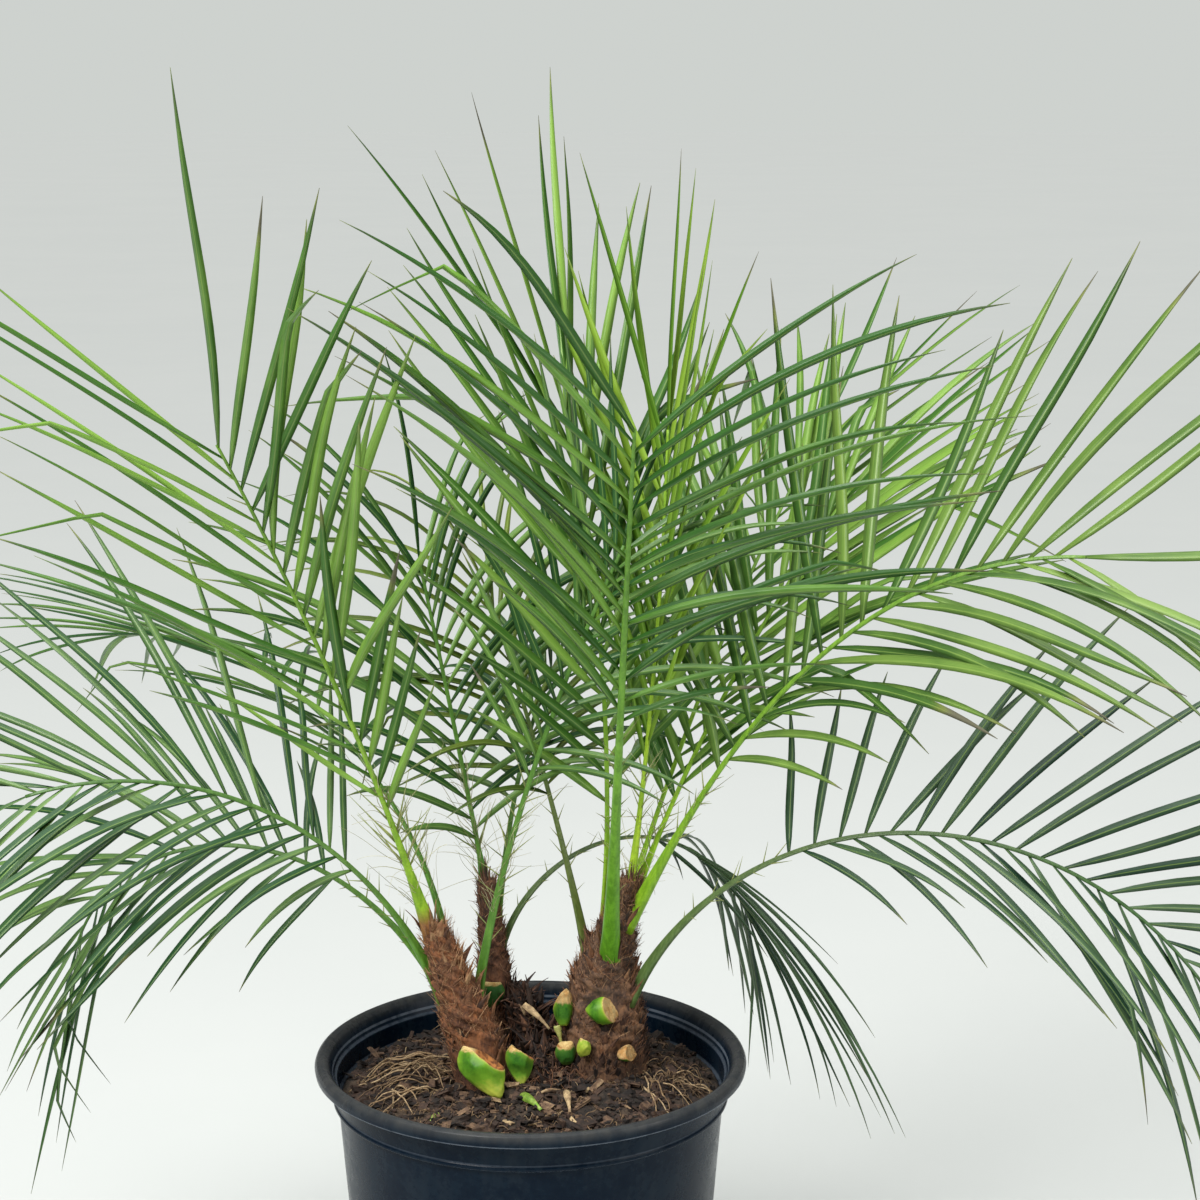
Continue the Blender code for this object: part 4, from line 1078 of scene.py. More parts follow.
def make_fibres(name, piece_name, count, seed, finish, reach, spread, thick, tints):
    """Loose fibres: strands rooted in a trunk's skin, combed up and out and curling as they go."""
    draw = np.random.default_rng(seed)
    lowest, top, rise = 0.228, TRUNKS[name][-1][2], 0.004
    turn = 2 * pi * draw.random(count)
    root, level, out = rooted(name, turn, lowest + (top - lowest) * draw.random(count) ** 1.15)
    count = len(root)
    x, y, _ = trunk_path(name, level)
    upper_x, upper_y, _ = trunk_path(name, level + rise)
    axis = unit(np.stack([upper_x - x, upper_y - y, np.full(count, rise)], axis=-1))
    aside = np.cross(axis, out)
    way = axis * draw.uniform(0.5, 1.2, (count, 1)) + out * draw.uniform(0.05, spread, (count, 1))
    way = unit(way + aside * draw.normal(0, 0.75, (count, 1)))
    length = draw.uniform(*reach, count)[:, None, None]
    t = np.linspace(0, 1, 6)[None, :, None]
    curl = unit(draw.normal(size=(count, 3)) + out * 0.2)[:, None] * draw.uniform(0.05, 0.40, (count, 1, 1))
    lines = root[:, None] - out[:, None] * 0.0008 + way[:, None] * length * t + curl * length * t ** 2
    radii = draw.uniform(*thick, (count, 1)) * (1 - 0.75 * t[..., 0])
    points, faces, owner = strands(lines, radii, 3)
    tint = draw.normal(*tints, count) + np.interp(level, SHADE_HEIGHTS, (-0.18, 0.04))
    tint = np.clip(tint, 0, 1)[owner]
    piece = add_piece(piece_name, points, faces, [finish], {"tint": tint}, weld=False)
    settle(piece, "trunk_fibre")


def add_strips(piece_name, slot_name, lines, aside, out, width, tint, finish, seed, tip=0.06):
    """Cupped strips along lines, torn to a point: across, they bow back by half a half-width times u^2."""
    count, rows = lines.shape[:2]
    columns = 5
    aside, out, width = aside[:, None, None], out[:, None, None], width[:, None, None, None]
    t = np.linspace(0, 1, rows)[None, :, None, None]
    u = np.linspace(-1, 1, columns)[None, None, :, None]
    narrowing = np.clip(1.15 - t ** 1.5 * 1.15, tip, 1) * (0.75 + 0.25 * np.minimum(1, 4 * t))
    sheet = lines[:, :, None] + aside * width * narrowing * u - out * width * 0.5 * narrowing * u ** 2
    sheet = sheet + out * noise(sheet, 700.0, seed, 2)[..., None] * 0.0007
    ring = np.concatenate([sheet, (sheet - out * STRIP_THICKNESS)[:, :, ::-1]], axis=2)
    tint = np.repeat(tint, rows * 2 * columns)
    faces = tube_faces(rows, 2 * columns, count)
    piece = add_piece(piece_name, ring, faces, [finish], {"tint": tint}, weld=False)
    settle(piece, slot_name)


def make_flaps(name, piece_name, count, seed, finish, reach, tint, lowest, highest):
    """Torn sheaths on a trunk: strips rooted in the skin that rise along it and curl outwards."""
    draw = np.random.default_rng(seed)
    top = highest or TRUNKS[name][-1][2] - 0.004
    turn = 2 * pi * draw.random(count)
    root, level, out = rooted(name, turn, draw.uniform(lowest, top, count))
    count = len(root)
    aside = unit(np.cross(np.array([0.0, 0.0, 1.0]), out) + 0.35 * draw.normal(size=(count, 3)) * [1, 1, 0.6])
    rise = np.cross(out, aside)
    rise = rise * np.sign(rise[:, 2:])
    length = draw.uniform(*reach, count)[:, None, None]
    t = np.linspace(0, 1, STRIP_ROWS)[None, :, None]
    lean = draw.uniform(0.03, 0.24, count)[:, None, None]
    hook = draw.uniform(0.0, 0.25, count)[:, None, None]
    outwards = length * (lean * t + hook * t ** 3) - 0.0008
    lines = root[:, None] + rise[:, None] * length * t + out[:, None] * outwards
    tints = draw.normal(tint, 0.18, count) + np.interp(level, SHADE_HEIGHTS, (-0.14, 0.03))
    tints = np.clip(tints, 0, 1)
    width = draw.uniform(0.0014, 0.0038, count)
    add_strips(piece_name, "trunk_fibre", lines, aside, out, width, tints, finish, seed)


def make_collars(piece_name, names, seed, finish, tint):
    """Torn sheaths that clasp the stalks: strips from each foot along the sides and upper face of its rib."""
    draw = np.random.default_rng(seed)
    each, reach = 9, (0.014, 0.032)
    t = np.linspace(0, 1, STRIP_ROWS)[None, :]
    lines, asides, outs, widths = [], [], [], []
    for name in names:
        frond = FRONDS[name]
        fine, line, ahead, left, upper = rib_lines(frond)
        turn = np.radians(np.linspace(-25, 205, each) + draw.uniform(-8, 8, each))
        out = np.cos(turn)[:, None] * left + np.sin(turn)[:, None] * upper[0]
        length = draw.uniform(*reach, (each, 1)) * (0.6 + 80 * frond["stalk"])
        share = length * t / frond["length"]
        lift = length * draw.uniform(0.0, 0.22, (each, 1)) * t ** 3
        off = 0.95 * np.interp(share, fine, rib_radius(frond, fine)) + lift
        lines.append(read_along(share, fine, line) + out[:, None] * off[..., None])
        asides.append(np.cross(ahead[0], out))
        outs.append(out)
        widths.append(frond["stalk"] * draw.uniform(0.35, 0.60, each))
    tints = np.clip(draw.normal(tint, 0.16, each * len(names)), 0, 1)
    add_strips(piece_name, "trunk_fibre", np.concatenate(lines), np.concatenate(asides), np.concatenate(outs),
               np.concatenate(widths), tints, finish, seed)


def make_dead_sheaths(finish, count, seed):
    """Ragged dead sheaths that stand in the heap: curling strips round its middle that lean every way."""
    draw = np.random.default_rng(seed)
    middle = np.array(HEAP_MIDDLE) + [-0.003, 0.002]
    spread = middle + draw.normal(size=(count, 2)) * [0.0125, 0.0135]
    root = np.append(spread, (ground_height(*spread.T) - 0.002)[:, None], axis=1)
    rise = unit(draw.normal(size=(count, 3)) * [0.55, 0.55, 0.2] + [0, 0, 0.75])
    aside = unit(np.cross(rise, draw.normal(size=(count, 3))))
    out = np.cross(rise, aside)
    t = np.linspace(0, 1, STRIP_ROWS)[None, :, None]
    length = draw.uniform(0.007, 0.022, count)[:, None, None]
    curl = out[:, None] * draw.uniform(-0.6, 0.6, (count, 1, 1)) * t ** 2
    lines = root[:, None] + length * (rise[:, None] * t + curl)
    tints = np.clip(draw.normal(0.16, 0.16, count), 0, 1)
    width = draw.uniform(0.0010, 0.0034, count)
    add_strips("dead_sheaths", "trunk_fibre", lines, aside, out, width, tints, finish, seed)


def make_offcuts(piece_name, rows, finish, seed):
    """Single offcuts: cupped strips on low arches between two ends, whose heights are above the ground."""
    ends = np.array([row[:2] for row in rows])
    ends[..., 2] += ground_height(ends[..., 0], ends[..., 1])
    t = np.linspace(0, 1, STRIP_ROWS)[None, :, None]
    lines = ends[:, :1] * (1 - t) + ends[:, 1:] * t + np.array([0, 0, 0.0012]) * np.sin(pi * t)
    ahead = unit(ends[:, 1] - ends[:, 0])
    aside = unit(np.cross(ahead, np.array([0.0, -0.75, 0.65])))
    out = np.cross(aside, ahead)
    width, tint = np.array([row[2:] for row in rows]).T
    add_strips(piece_name, "bark_mulch", lines, aside, out, width, tint, finish, seed, tip=0.35)


# Cut leaf bases


def make_leaf_base(number, row, finish):
    """A cut leaf base: rings round the egg from its low pole to the cut, found by halving, then the cut face.

    Flats are pared on the skin by bringing back what lies beyond a few planes, and its foot is drawn out.
    """
    draw = np.random.default_rng(60 + number)
    tilt, facing = [radians(angle) for angle in row["cut"][:2]]
    normal = np.array([sin(tilt) * cos(facing), sin(tilt) * sin(facing), cos(tilt)])
    side = unit(np.cross(normal, [0.0, 1.0, 0.0] if abs(normal[1]) < 0.9 else [1.0, 0.0, 0.0]))
    other = np.cross(normal, side)
    around = full_circle(BASE_SIDES)
    size, taper = np.array(row["size"]), row["taper"]

    def egg(polar):
        """The egg's point in a direction so far round from the cut's normal."""
        way = (np.sin(polar)[..., None] * (np.cos(around)[:, None] * side + np.sin(around)[:, None] * other)
               + np.cos(polar)[..., None] * normal)
        way = 0.5 * way
        return np.stack([way[..., 0] * (1 - taper * way[..., 2]), way[..., 1], way[..., 2]], axis=-1) * size

    low, high = np.zeros(BASE_SIDES), np.full(BASE_SIDES, pi)
    for _ in range(30):
        half = 0.5 * (low + high)
        beyond = egg(half) @ normal > row["cut"][2]
        low, high = np.where(beyond, half, low), np.where(beyond, high, half)
    rim = 0.5 * (low + high)
    share = np.linspace(0, 1, SKIN_ROWS)[:, None]
    body = egg(pi + (rim[None] - pi) * share)
    for way, kept in zip(unit(draw.normal(size=(9, 3))), draw.uniform(0.78, 0.93, 9)):
        reach = body @ way
        body = body - np.maximum(0.0, reach - kept * reach.max())[..., None] * way * 0.85
    grain = noise(body * [1, 1, 0.3], 420.0, number, 3)[..., None]
    body = body + unit(body) * grain * 0.0007 * np.sin(pi * share)[..., None]
    edge = body[-1:]
    inward = np.linspace(0, 1, FACE_ROWS + 1)[1:, None, None]
    face = edge + (edge.mean(axis=1, keepdims=True) - edge) * inward
    ripple = 0.0005 * noise(face, 700.0, number + 40, 2)[..., None] * (inward > 0.1)
    face = face - normal * (row["hollow"] * np.sin(0.5 * pi * inward) ** 0.7 + ripple)
    lean = Matrix.Rotation(radians(row["turn"]), 3, "Z") @ Matrix.Rotation(radians(row["lean"]), 3, "Y")
    points = np.concatenate([body, face]) @ np.array(lean).T
    sunk = np.clip(-points[..., 2:] / (0.5 * size[2]), 0, 1) ** 2
    points = points + sunk * (np.array(row["toe"]) - points * [0.30, 0.0, 0.0])
    placed = points + np.array(row["middle"])

    # Numbers that the finish reads: cut, tint, margin and shade
    skin = slice(SKIN_ROWS)
    uphill = unit(np.array([0.0, 0.0, 1.0]) - normal * normal[2]) @ np.array(lean).T
    across = (points - points[-1].mean(axis=0)) @ uphill
    across = across / np.abs(across[SKIN_ROWS:]).max()
    lowest, top = points[..., 2].min(), points[..., 2].max()
    height = (points[..., 2] - lowest) / (top - lowest)
    ragged = 0.08 * noise(points, 600.0, number + 80, 2)
    peeled = np.clip((height + ragged - (1 - row["peel"])) / 0.05, 0, 1) * (row["peel"] > 0)
    on_face = np.zeros(height.shape)
    on_face[SKIN_ROWS - 1:] = 1.0
    browned = np.clip((1 - 2 * row["pale"] - across) / 0.30, 0, 1) * on_face
    tint = np.clip(browned + row["brown"] * (1 + 3 * ragged), 0, 1)
    sides = np.abs(points[skin, :, 0]) / np.abs(points[skin, :, 0]).max()
    above = placed[skin, :, 2] - ground_height(placed[skin, :, 0], placed[skin, :, 1])
    low = np.maximum(1.2 - above / row["pallor"], 0.9 - 2.6 * height[skin])
    edges = np.maximum(0.75 * np.clip((sides - 0.45) / 0.5, 0, 1) ** 1.5, np.clip(low, 0, 1))
    margin = np.zeros(height.shape)
    margin[skin] = np.maximum(share ** 6, edges + 3 * ragged[skin] * edges)
    values = {"cut": np.maximum(on_face, peeled), "margin": margin, "tint": tint,
              "shade": np.full(height.shape, row["shade"])}
    piece = add_piece(f"cut_leaf_base_{number}", placed, [grid_faces(len(points), BASE_SIDES, wrap=True)],
                      [finish], values)
    settle(piece, "cut_leaf_base", f"leaf_base_{number}")


# Fronds


def rib_lines(frond):
    """Fine points of a rib with its direction and upper side, and its sideways direction."""
    fine = np.linspace(0.0, 1.0, 8 * (RIB_STATIONS - 1) + 1)
    slope = np.radians(frond["rise"] - frond["fall"] * fine ** frond["bend"])
    turn = radians(frond["heading"])
    ahead = np.stack([np.cos(slope) * cos(turn), np.cos(slope) * sin(turn), np.sin(slope)], axis=1)
    strides = 0.5 * (ahead[1:] + ahead[:-1]) * frond["length"] / (len(fine) - 1)
    line = np.array(frond["foot"]) + np.concatenate([np.zeros((1, 3)), np.cumsum(strides, axis=0)])
    left = np.array([-sin(turn), cos(turn), 0.0])
    return fine, line, ahead, left, np.cross(ahead, left)


def rib_radius(frond, along):
    """Radius to the corners of the rib: stout at the foot, slim by the first leaflets, fine at the tip."""
    middle = 0.5 * (frond["bare"] + FLARE_END)
    shares = (0.0, FLARE_END, middle, frond["bare"] + SLIM_AFTER, 1.0)
    foot = frond["stalk"]
    slim = max(RIB_BLADE_RADIUS, 0.5 * foot)
    radii = (foot, FLARE_LEFT * foot, 0.5 * (MIDDLE_LEFT * foot + slim), slim, RIB_TIP_RADIUS)
    return RIB_CORNER * np.interp(along, shares, radii)


def read_along(at, along, values):
    """Vectors read from a table of them at shares along the rib."""
    return np.stack([np.interp(at, along, values[:, k]) for k in range(3)], axis=-1)


def leaflet_rule(frond, seed):
    """The solids' rule for leaflets: place on the rib, direction, width direction and length."""
    fine, line, ahead, left, upper = rib_lines(frond)
    coarse = slice(None, None, 8)
    count = 2 * frond["pairs"] + 1
    k = np.arange(count)
    last = k == count - 1
    row = np.where(k % 2 == 0, 1.0, -1.0)
    share = np.where(last, 1.0, (k // 2 + np.take(ROW_OFFSETS, k % 2)) / frond["pairs"])
    at = np.where(last, LAST_AT, frond["bare"] + (PAIRS_END - frond["bare"]) * share ** PAIRS_EASE)
    here = read_along(at, fine[coarse], line[coarse])
    forth = read_along(at, fine[coarse], ahead[coarse])
    above = read_along(at, fine[coarse], upper[coarse])
    roll = radians(frond["roll"])
    across = left * cos(roll) + above * sin(roll)
    normal = np.cross(forth, across)
    jitter = np.random.default_rng(seed).normal(size=(count, 3))
    first, final, sag, breadth = np.where(row[:, None] > 0, frond["left"], frond["right"]).T
    spread = first * (1 - share) + final * share + jitter[:, 0] * JITTER["spread"]
    spread = np.radians(np.where(last, frond["turn"], spread))[:, None]
    lift = np.radians(frond["lift"] + jitter[:, 1] * JITTER["lift"])[:, None]
    grown = np.minimum(FIRST_LENGTH + GROWTH * share, 1.0)
    closing = np.maximum(0.0, (share - CLOSING_FROM) / (1 - CLOSING_FROM)) ** CLOSING_EASE
    length = frond["leaflet"] * grown * (1 - (1 - frond["end"]) * closing)
    length = length * (1 + jitter[:, 2] * JITTER["length"])
    out = row[:, None] * across * np.cos(lift) + normal * np.sin(lift)
    toward = forth * np.cos(spread) + out * np.sin(spread)
    inset = np.where(last, 0.0, ROOT_INSET * np.interp(at, fine[coarse], rib_radius(frond, fine[coarse])))
    crowding = np.maximum(0.0, (share - CROWDED_FROM) / (1 - CROWDED_FROM))
    width = breadth * (FIRST_WIDTH + (1 - FIRST_WIDTH) * grown) * (1 - (1 - CROWDED_WIDTH) * crowding)
    root = here + (row * inset)[:, None] * across
    fine_root = root + read_along(at, fine, line) - here
    return dict(root=root, fine_root=fine_root, toward=toward, wide=unit(np.cross(normal, toward)), row=row,
                length=length, width=width, sag=sag)


def turns_to_try():
    """Turns of a leaflet in degrees, the smallest first, in the solids' order."""
    tries = [(0.0, 0.0)]
    for ring in range(1, TURN_RINGS + 1):
        for k in range(TURNS_PER_RING):
            angle = 2 * pi * (k + 0.5 * (ring % 2)) / TURNS_PER_RING
            tries.append((TURN_STEP * ring * cos(angle), TURN_STEP * ring * sin(angle)))
    return np.radians(tries)


def bent(rule, turns):
    """Direction and width direction of each leaflet after turns about its width and then its normal."""
    wide = rule["wide"][:, None] + np.zeros((1, turns.shape[-2], 1))
    toward = spun(rule["toward"][:, None], wide, turns[..., 0])
    normal = np.cross(toward, wide)
    return spun(toward, normal, turns[..., 1]), spun(wide, normal, turns[..., 1])


def droop_line(root, toward, length, sag, shares):
    """Points along leaflets: steps whose direction tends downwards with the share of length, by sag."""
    droop = -np.asarray(sag)[..., None, None] * np.array([0.0, 0.0, 1.0])
    shares = np.asarray(shares)
    middles = 0.5 * (shares[1:] + shares[:-1])
    strides = unit(toward[..., None, :] + middles[:, None] * droop) * (shares[1:] - shares[:-1])[:, None]
    steps = np.cumsum(strides * length[..., None, None], axis=-2)
    return root[..., None, :] + np.concatenate([np.zeros((*steps.shape[:-2], 1, 3)), steps], axis=-2)


def fitted_leaflets(node, rule):
    """The turn and shortening that each leaflet got in its solid: the first whose tip is a corner there."""
    data = frame["nodes"][node].data
    corners = np.empty(len(data.vertices) * 3)
    data.vertices.foreach_get("co", corners)
    corners = np.unique(corners.reshape(-1, 3).round(6), axis=0)
    turns = turns_to_try()
    toward, wide = bent(rule, turns[None])
    drooping = (rule["sag"] >= DROOPING_SAG)[:, None, None]
    sag = rule["sag"][:, None]
    count = len(rule["root"])
    root = np.broadcast_to(rule["root"][:, None], toward.shape)
    best_toward, best_wide, best_tip = toward[:, 0].copy(), wide[:, 0].copy(), np.zeros((count, 3))
    found = np.zeros(count, bool)
    for shorter in SHORTER:
        length = np.broadcast_to((rule["length"] * shorter)[:, None], toward.shape[:2])
        stiff_tips, drooping_tips = [
            droop_line(root, toward, length, sag, (*sections, 1.0))[..., -1, :]
            for sections in (STIFF_SECTIONS, DROOPING_SECTIONS)]
        tips = np.where(drooping, drooping_tips, stiff_tips)
        near = np.stack([np.min(np.sum((tip[:, None] - corners) ** 2, axis=-1), axis=-1) for tip in tips])
        hit = near < (3e-5) ** 2
        first = np.argmax(hit, axis=1)
        fresh = hit.any(axis=1) & ~found
        rows = np.arange(count)
        best_toward[fresh], best_wide[fresh] = toward[rows, first][fresh], wide[rows, first][fresh]
        best_tip[fresh] = tips[rows, first][fresh]
        found |= fresh
    return found, best_toward, best_wide, best_tip


def kinked(line, s, draw):
    """Lines bent down: a little all along each, and for a few a sharp fold part of the way out.

    Every stride is turned about the level line square to the leaflet, by
    bend s^2 + fold smoothstep((s - start) / 0.1).
    """
    count = len(line)
    strides = np.diff(line, axis=1)
    level = unit(np.cross(line[:, -1] - line[:, 0], np.array([0.0, 0.0, -1.0])) + 1e-9)
    bend = draw.normal(0.0, 0.07, (count, 1))
    folded = draw.random((count, 1)) < 0.07
    fold = np.where(folded, draw.uniform(0.35, 1.25, (count, 1)), 0.0)
    start = draw.uniform(0.45, 0.75, (count, 1))
    middle = 0.5 * (s[1:] + s[:-1])[None]
    share = np.clip((middle - start) / 0.10, 0.0, 1.0)
    angle = bend * middle ** 2 + fold * share * share * (3 - 2 * share)
    axes = np.broadcast_to(level[:, None], strides.shape)
    bent_strides = spun(strides, axes, angle)
    return np.concatenate([line[:, :1], line[:, :1] + np.cumsum(bent_strides, axis=1)], axis=1)


def leaflet_blades(name, rule, found, toward, wide, tip, draw):
    """Folded blades: along each drooping line a section of edge, midrib above, edge and midrib below.

    The edges stand half a width out, the midrib lies a fold below them, and the line ends at the tip.
    """
    s = np.linspace(0.0, 1.0, BLADE_SECTIONS) ** 0.9
    reach = np.linalg.norm(tip - rule["root"], axis=-1)
    line = droop_line(rule["fine_root"], toward, rule["length"], rule["sag"], s)
    scale = reach / np.maximum(np.linalg.norm(line[:, -1] - line[:, 0], axis=-1), 1e-9)
    line = line[:, :1] + (line - line[:, :1]) * scale[:, None, None]
    line = line + (tip[:, None] - line[:, -1:]) * (s ** 2)[None, :, None]
    count = len(line)
    line = kinked(line, s, draw)
    ahead = unit(np.gradient(line, axis=1))
    flat = unit(wide[:, None] - ahead * np.sum(ahead * wide[:, None], axis=-1, keepdims=True))
    louvre = radians(LOUVRE) * rule["row"][:, None] + draw.normal(0, 0.10, (count, 1))
    louvre = louvre + draw.normal(0, 0.22, (count, 1)) * s[None]
    flat = spun(flat, ahead, louvre)
    above = np.cross(ahead, flat)
    sway = draw.normal(0, 0.0020, (count, 1)) * np.sin(pi * s)[None]
    sway = sway + draw.normal(0, 0.0010, (count, 1)) * np.sin(2 * pi * s)[None]
    line = line + flat * (sway * (reach / 0.2)[:, None])[..., None]
    half = 0.5 * np.interp(s, BLADE_SHARES, BLADE_WIDTHS)[None] * rule["width"][:, None]
    half = half * NARROWER.get(name, 1.0)
    fold = np.interp(s, BLADE_SHARES, BLADE_FOLDS)[None] * draw.uniform(0.7, 1.3, (count, 1))
    half, fold = half[..., None], fold[..., None]
    thick = BLADE_THICKNESS * np.minimum(1, half / 0.002)
    section = np.stack([
        line + flat * half, line - above * (fold - 0.5 * thick), line - flat * half,
        line - above * (fold + 0.5 * thick)], axis=2)
    section, kept = section[found], int(found.sum())
    shape = (kept, BLADE_SECTIONS, 4)
    along = np.broadcast_to(s[None, :, None], shape)
    across = np.broadcast_to(np.array([1.0, 0.0, -1.0, 0.0]), shape)
    # Each leaflet's own tint, lowered on the left rows of some fronds as painted shade
    green = draw.normal(0.5, 0.30, count) - SHADED_ROWS.get(name, 0.0) * (rule["row"] > 0)
    tint = np.broadcast_to(np.clip(green, -0.2, 1)[found][:, None, None], shape)
    dryness = np.clip(draw.gamma(1.4, 0.12, count), 0.02, 0.9)
    dryness = np.broadcast_to(dryness[found][:, None, None], shape)
    marks = dict(along=along, across=across, tint=tint, dryness=dryness)
    return section.reshape(-1, 3), tube_faces(BLADE_SECTIONS, 4, kept), marks


def rib_body(name, frond):
    """The rib: rounded three-sided rings along its fine line, channelled above, slimmer than its solid."""
    fine, line, ahead, left, upper = rib_lines(frond)
    roll = radians(frond["roll"])
    across = left * cos(roll) + upper * sin(roll)
    above = np.cross(ahead, across)
    slim = np.interp(fine, (0.0, 0.5 * frond["bare"], frond["bare"], 1.0), (1.0, 0.85, RIB_SLIMMED, 0.80))
    radius = (rib_radius(frond, fine) * slim * SLIMMER.get(name, 1.0))[:, None]
    turn = full_circle(14)
    clasp = np.clip(1 - fine / 0.16, 0, 1)[:, None] ** 2
    out = np.cos(turn)[None] * (1.02 + 0.30 * clasp)
    up = np.where(np.sin(turn) > 0, 0.55, 0.95)[None] * np.sin(turn)[None]
    channel = 0.30 * np.exp(-(np.cos(turn) / 0.45) ** 2)[None] * (np.sin(turn) > 0)[None]
    up = up - channel * np.clip(1.2 - fine, 0, 1)[:, None]
    points = line[:, None] + across[:, None] * (out * radius)[..., None]
    points = points + above[:, None] * (up * radius)[..., None]
    along = np.broadcast_to(fine[:, None], up.shape)
    return points.reshape(-1, 3), tube_faces(*up.shape), along, (fine, line, ahead, across, above)


def spine_lines(name, frond, guides, draw):
    """Spines on the bare stalk: tapered strands in two rows that slant forwards, longest by the leaflets."""
    fine, line, ahead, across, above = guides
    longest = SPINES.get(name, 0.014)
    count = max(5, int((11 + 200 * (longest - 0.014)) * frond["bare"] * frond["length"] / 0.12))
    at = np.linspace(0.16, frond["bare"] - 0.01, count) + draw.normal(0, 0.008, count)
    here, forth, side, up = [read_along(at, fine, values) for values in (line, ahead, across, above)]
    row = np.where(np.arange(count) % 2 == 0, 1.0, -1.0)[:, None]
    slant = forth * draw.uniform(0.5, 1.9, (count, 1))
    way = unit(slant + row * side + up * draw.uniform(-0.1, 0.5, (count, 1)))
    growth = np.interp(at / frond["bare"], (0, 0.5, 1), (0.6, 1.0, 1.5))
    length = draw.uniform(0.36 * longest, longest, count) * growth
    t = np.linspace(0, 1, 6)[None, :, None]
    radius = np.interp(at, fine, rib_radius(frond, fine))[:, None]
    root = here + row * side * radius * 0.55
    sag = draw.uniform(-0.10, 0.15, (count, 1, 1)) * [0.0, 0.0, -1.0]
    sag = sag * np.clip(length / 0.03, 0, 1)[:, None, None]
    lines = root[:, None] + length[:, None, None] * (way[:, None] * t + sag * t ** 2)
    radii = (0.00045 + 0.010 * np.clip(length - 0.014, 0, 0.03))[:, None] * (1 - 0.85 * t[..., 0])
    return strands(lines, radii, 4)[:2]


def make_frond(number, name, frond, finishes):
    """A whole frond: its rib, spines and folded leaflets, in one piece with a finish for each."""
    draw = np.random.default_rng(100 + number)
    rule = leaflet_rule(frond, number)
    found, toward, wide, tip = fitted_leaflets(name, rule)
    blades, blade_faces, marks = leaflet_blades(name, rule, found, toward, wide, tip, draw)
    rib, rib_faces, rib_along, guides = rib_body(name, frond)
    spines, spine_faces = spine_lines(name, frond, guides, draw)
    parts = [(blades, blade_faces), (rib, rib_faces), (spines, spine_faces)]
    points, faces, which, first = [], [], [], 0
    for k, (places, part_faces) in enumerate(parts):
        for part in part_faces:
            faces.append(part + first)
            which.append(np.full(len(part), k))
        points.append(places)
        first += len(places)
    tail = [np.zeros(len(rib)), np.zeros(len(spines))]
    values = {key: np.concatenate([marks[key].ravel(), *tail]) for key in ("across", "tint", "dryness")}
    values["along"] = np.concatenate([marks["along"].ravel(), rib_along.ravel(), np.full(len(spines), 0.5)])
    piece = add_piece(name.replace("frond", "palm_frond"), np.concatenate(points), faces, finishes, values,
                      np.concatenate(which), weld=False)
    settle(piece, "frond_green", name)


def make_threads(name, seed, finish, groups):
    """Pale threads round the crowns: long strands that leave a stalk near its own direction and droop."""
    draw = np.random.default_rng(seed)
    t = np.linspace(0, 1, 10)[None, :, None]
    lines = []
    for count, frond_name, (low, high), reach in groups:
        fine, line, ahead = rib_lines(FRONDS[frond_name])[:3]
        at = draw.uniform(low, high, count)
        start = read_along(at, fine, line)
        way = unit(read_along(at, fine, ahead) + 0.42 * draw.normal(size=(count, 3)))[:, None]
        bend = draw.normal(size=(count, 1, 3)) * 0.10 + draw.uniform(0.0, 0.45, (count, 1, 1)) * [0, 0, -1.0]
        sway = draw.normal(size=(count, 1, 3)) * 0.03 * np.sin(2 * pi * t)
        length = draw.uniform(*reach, (count, 1, 1))
        lines.append(start[:, None] + length * (way * t + bend * t ** 2 + sway))
    lines = np.concatenate(lines)
    radii = np.linspace(1, 0.4, t.size)[None] * draw.uniform(0.00016, 0.00034, (len(lines), 1))
    points, faces, owner = strands(lines, radii, 3)
    tint = np.clip(draw.normal(0.62, 0.25, len(lines)), 0, 1)[owner]
    piece = add_piece(name, points, faces, [finish], {"tint": tint}, weld=False)
    settle(piece, "trunk_fibre")


# The pieces, from the pot up

make_pot()
make_soil()

MULCH_TINTS = [(0.0, (0.012, 0.008, 0.006)), (0.45, (0.060, 0.033, 0.021)), (0.75, (0.180, 0.110, 0.062)),
               (1.0, (0.50, 0.37, 0.20))]
chip_finish = tinted_finish("bark_chips", MULCH_TINTS, 0.85, (300.0, 300.0, 300.0), 0.8)
make_chips("bark_chips", 620, (0.0085, 0.0036, 0.0016), 11, chip_finish, (0.05, 0.15, 0.3, 0.45, 0.65))
make_chips("mulch_crumbs", 2600, (0.0026, 0.0022, 0.0016), 12, chip_finish, (0.0, 0.1, 0.25, 0.45, 0.6))
make_chips("pale_chips", 70, (0.0080, 0.0022, 0.0012), 13, chip_finish, (0.8, 0.9, 1.0), 0.7)

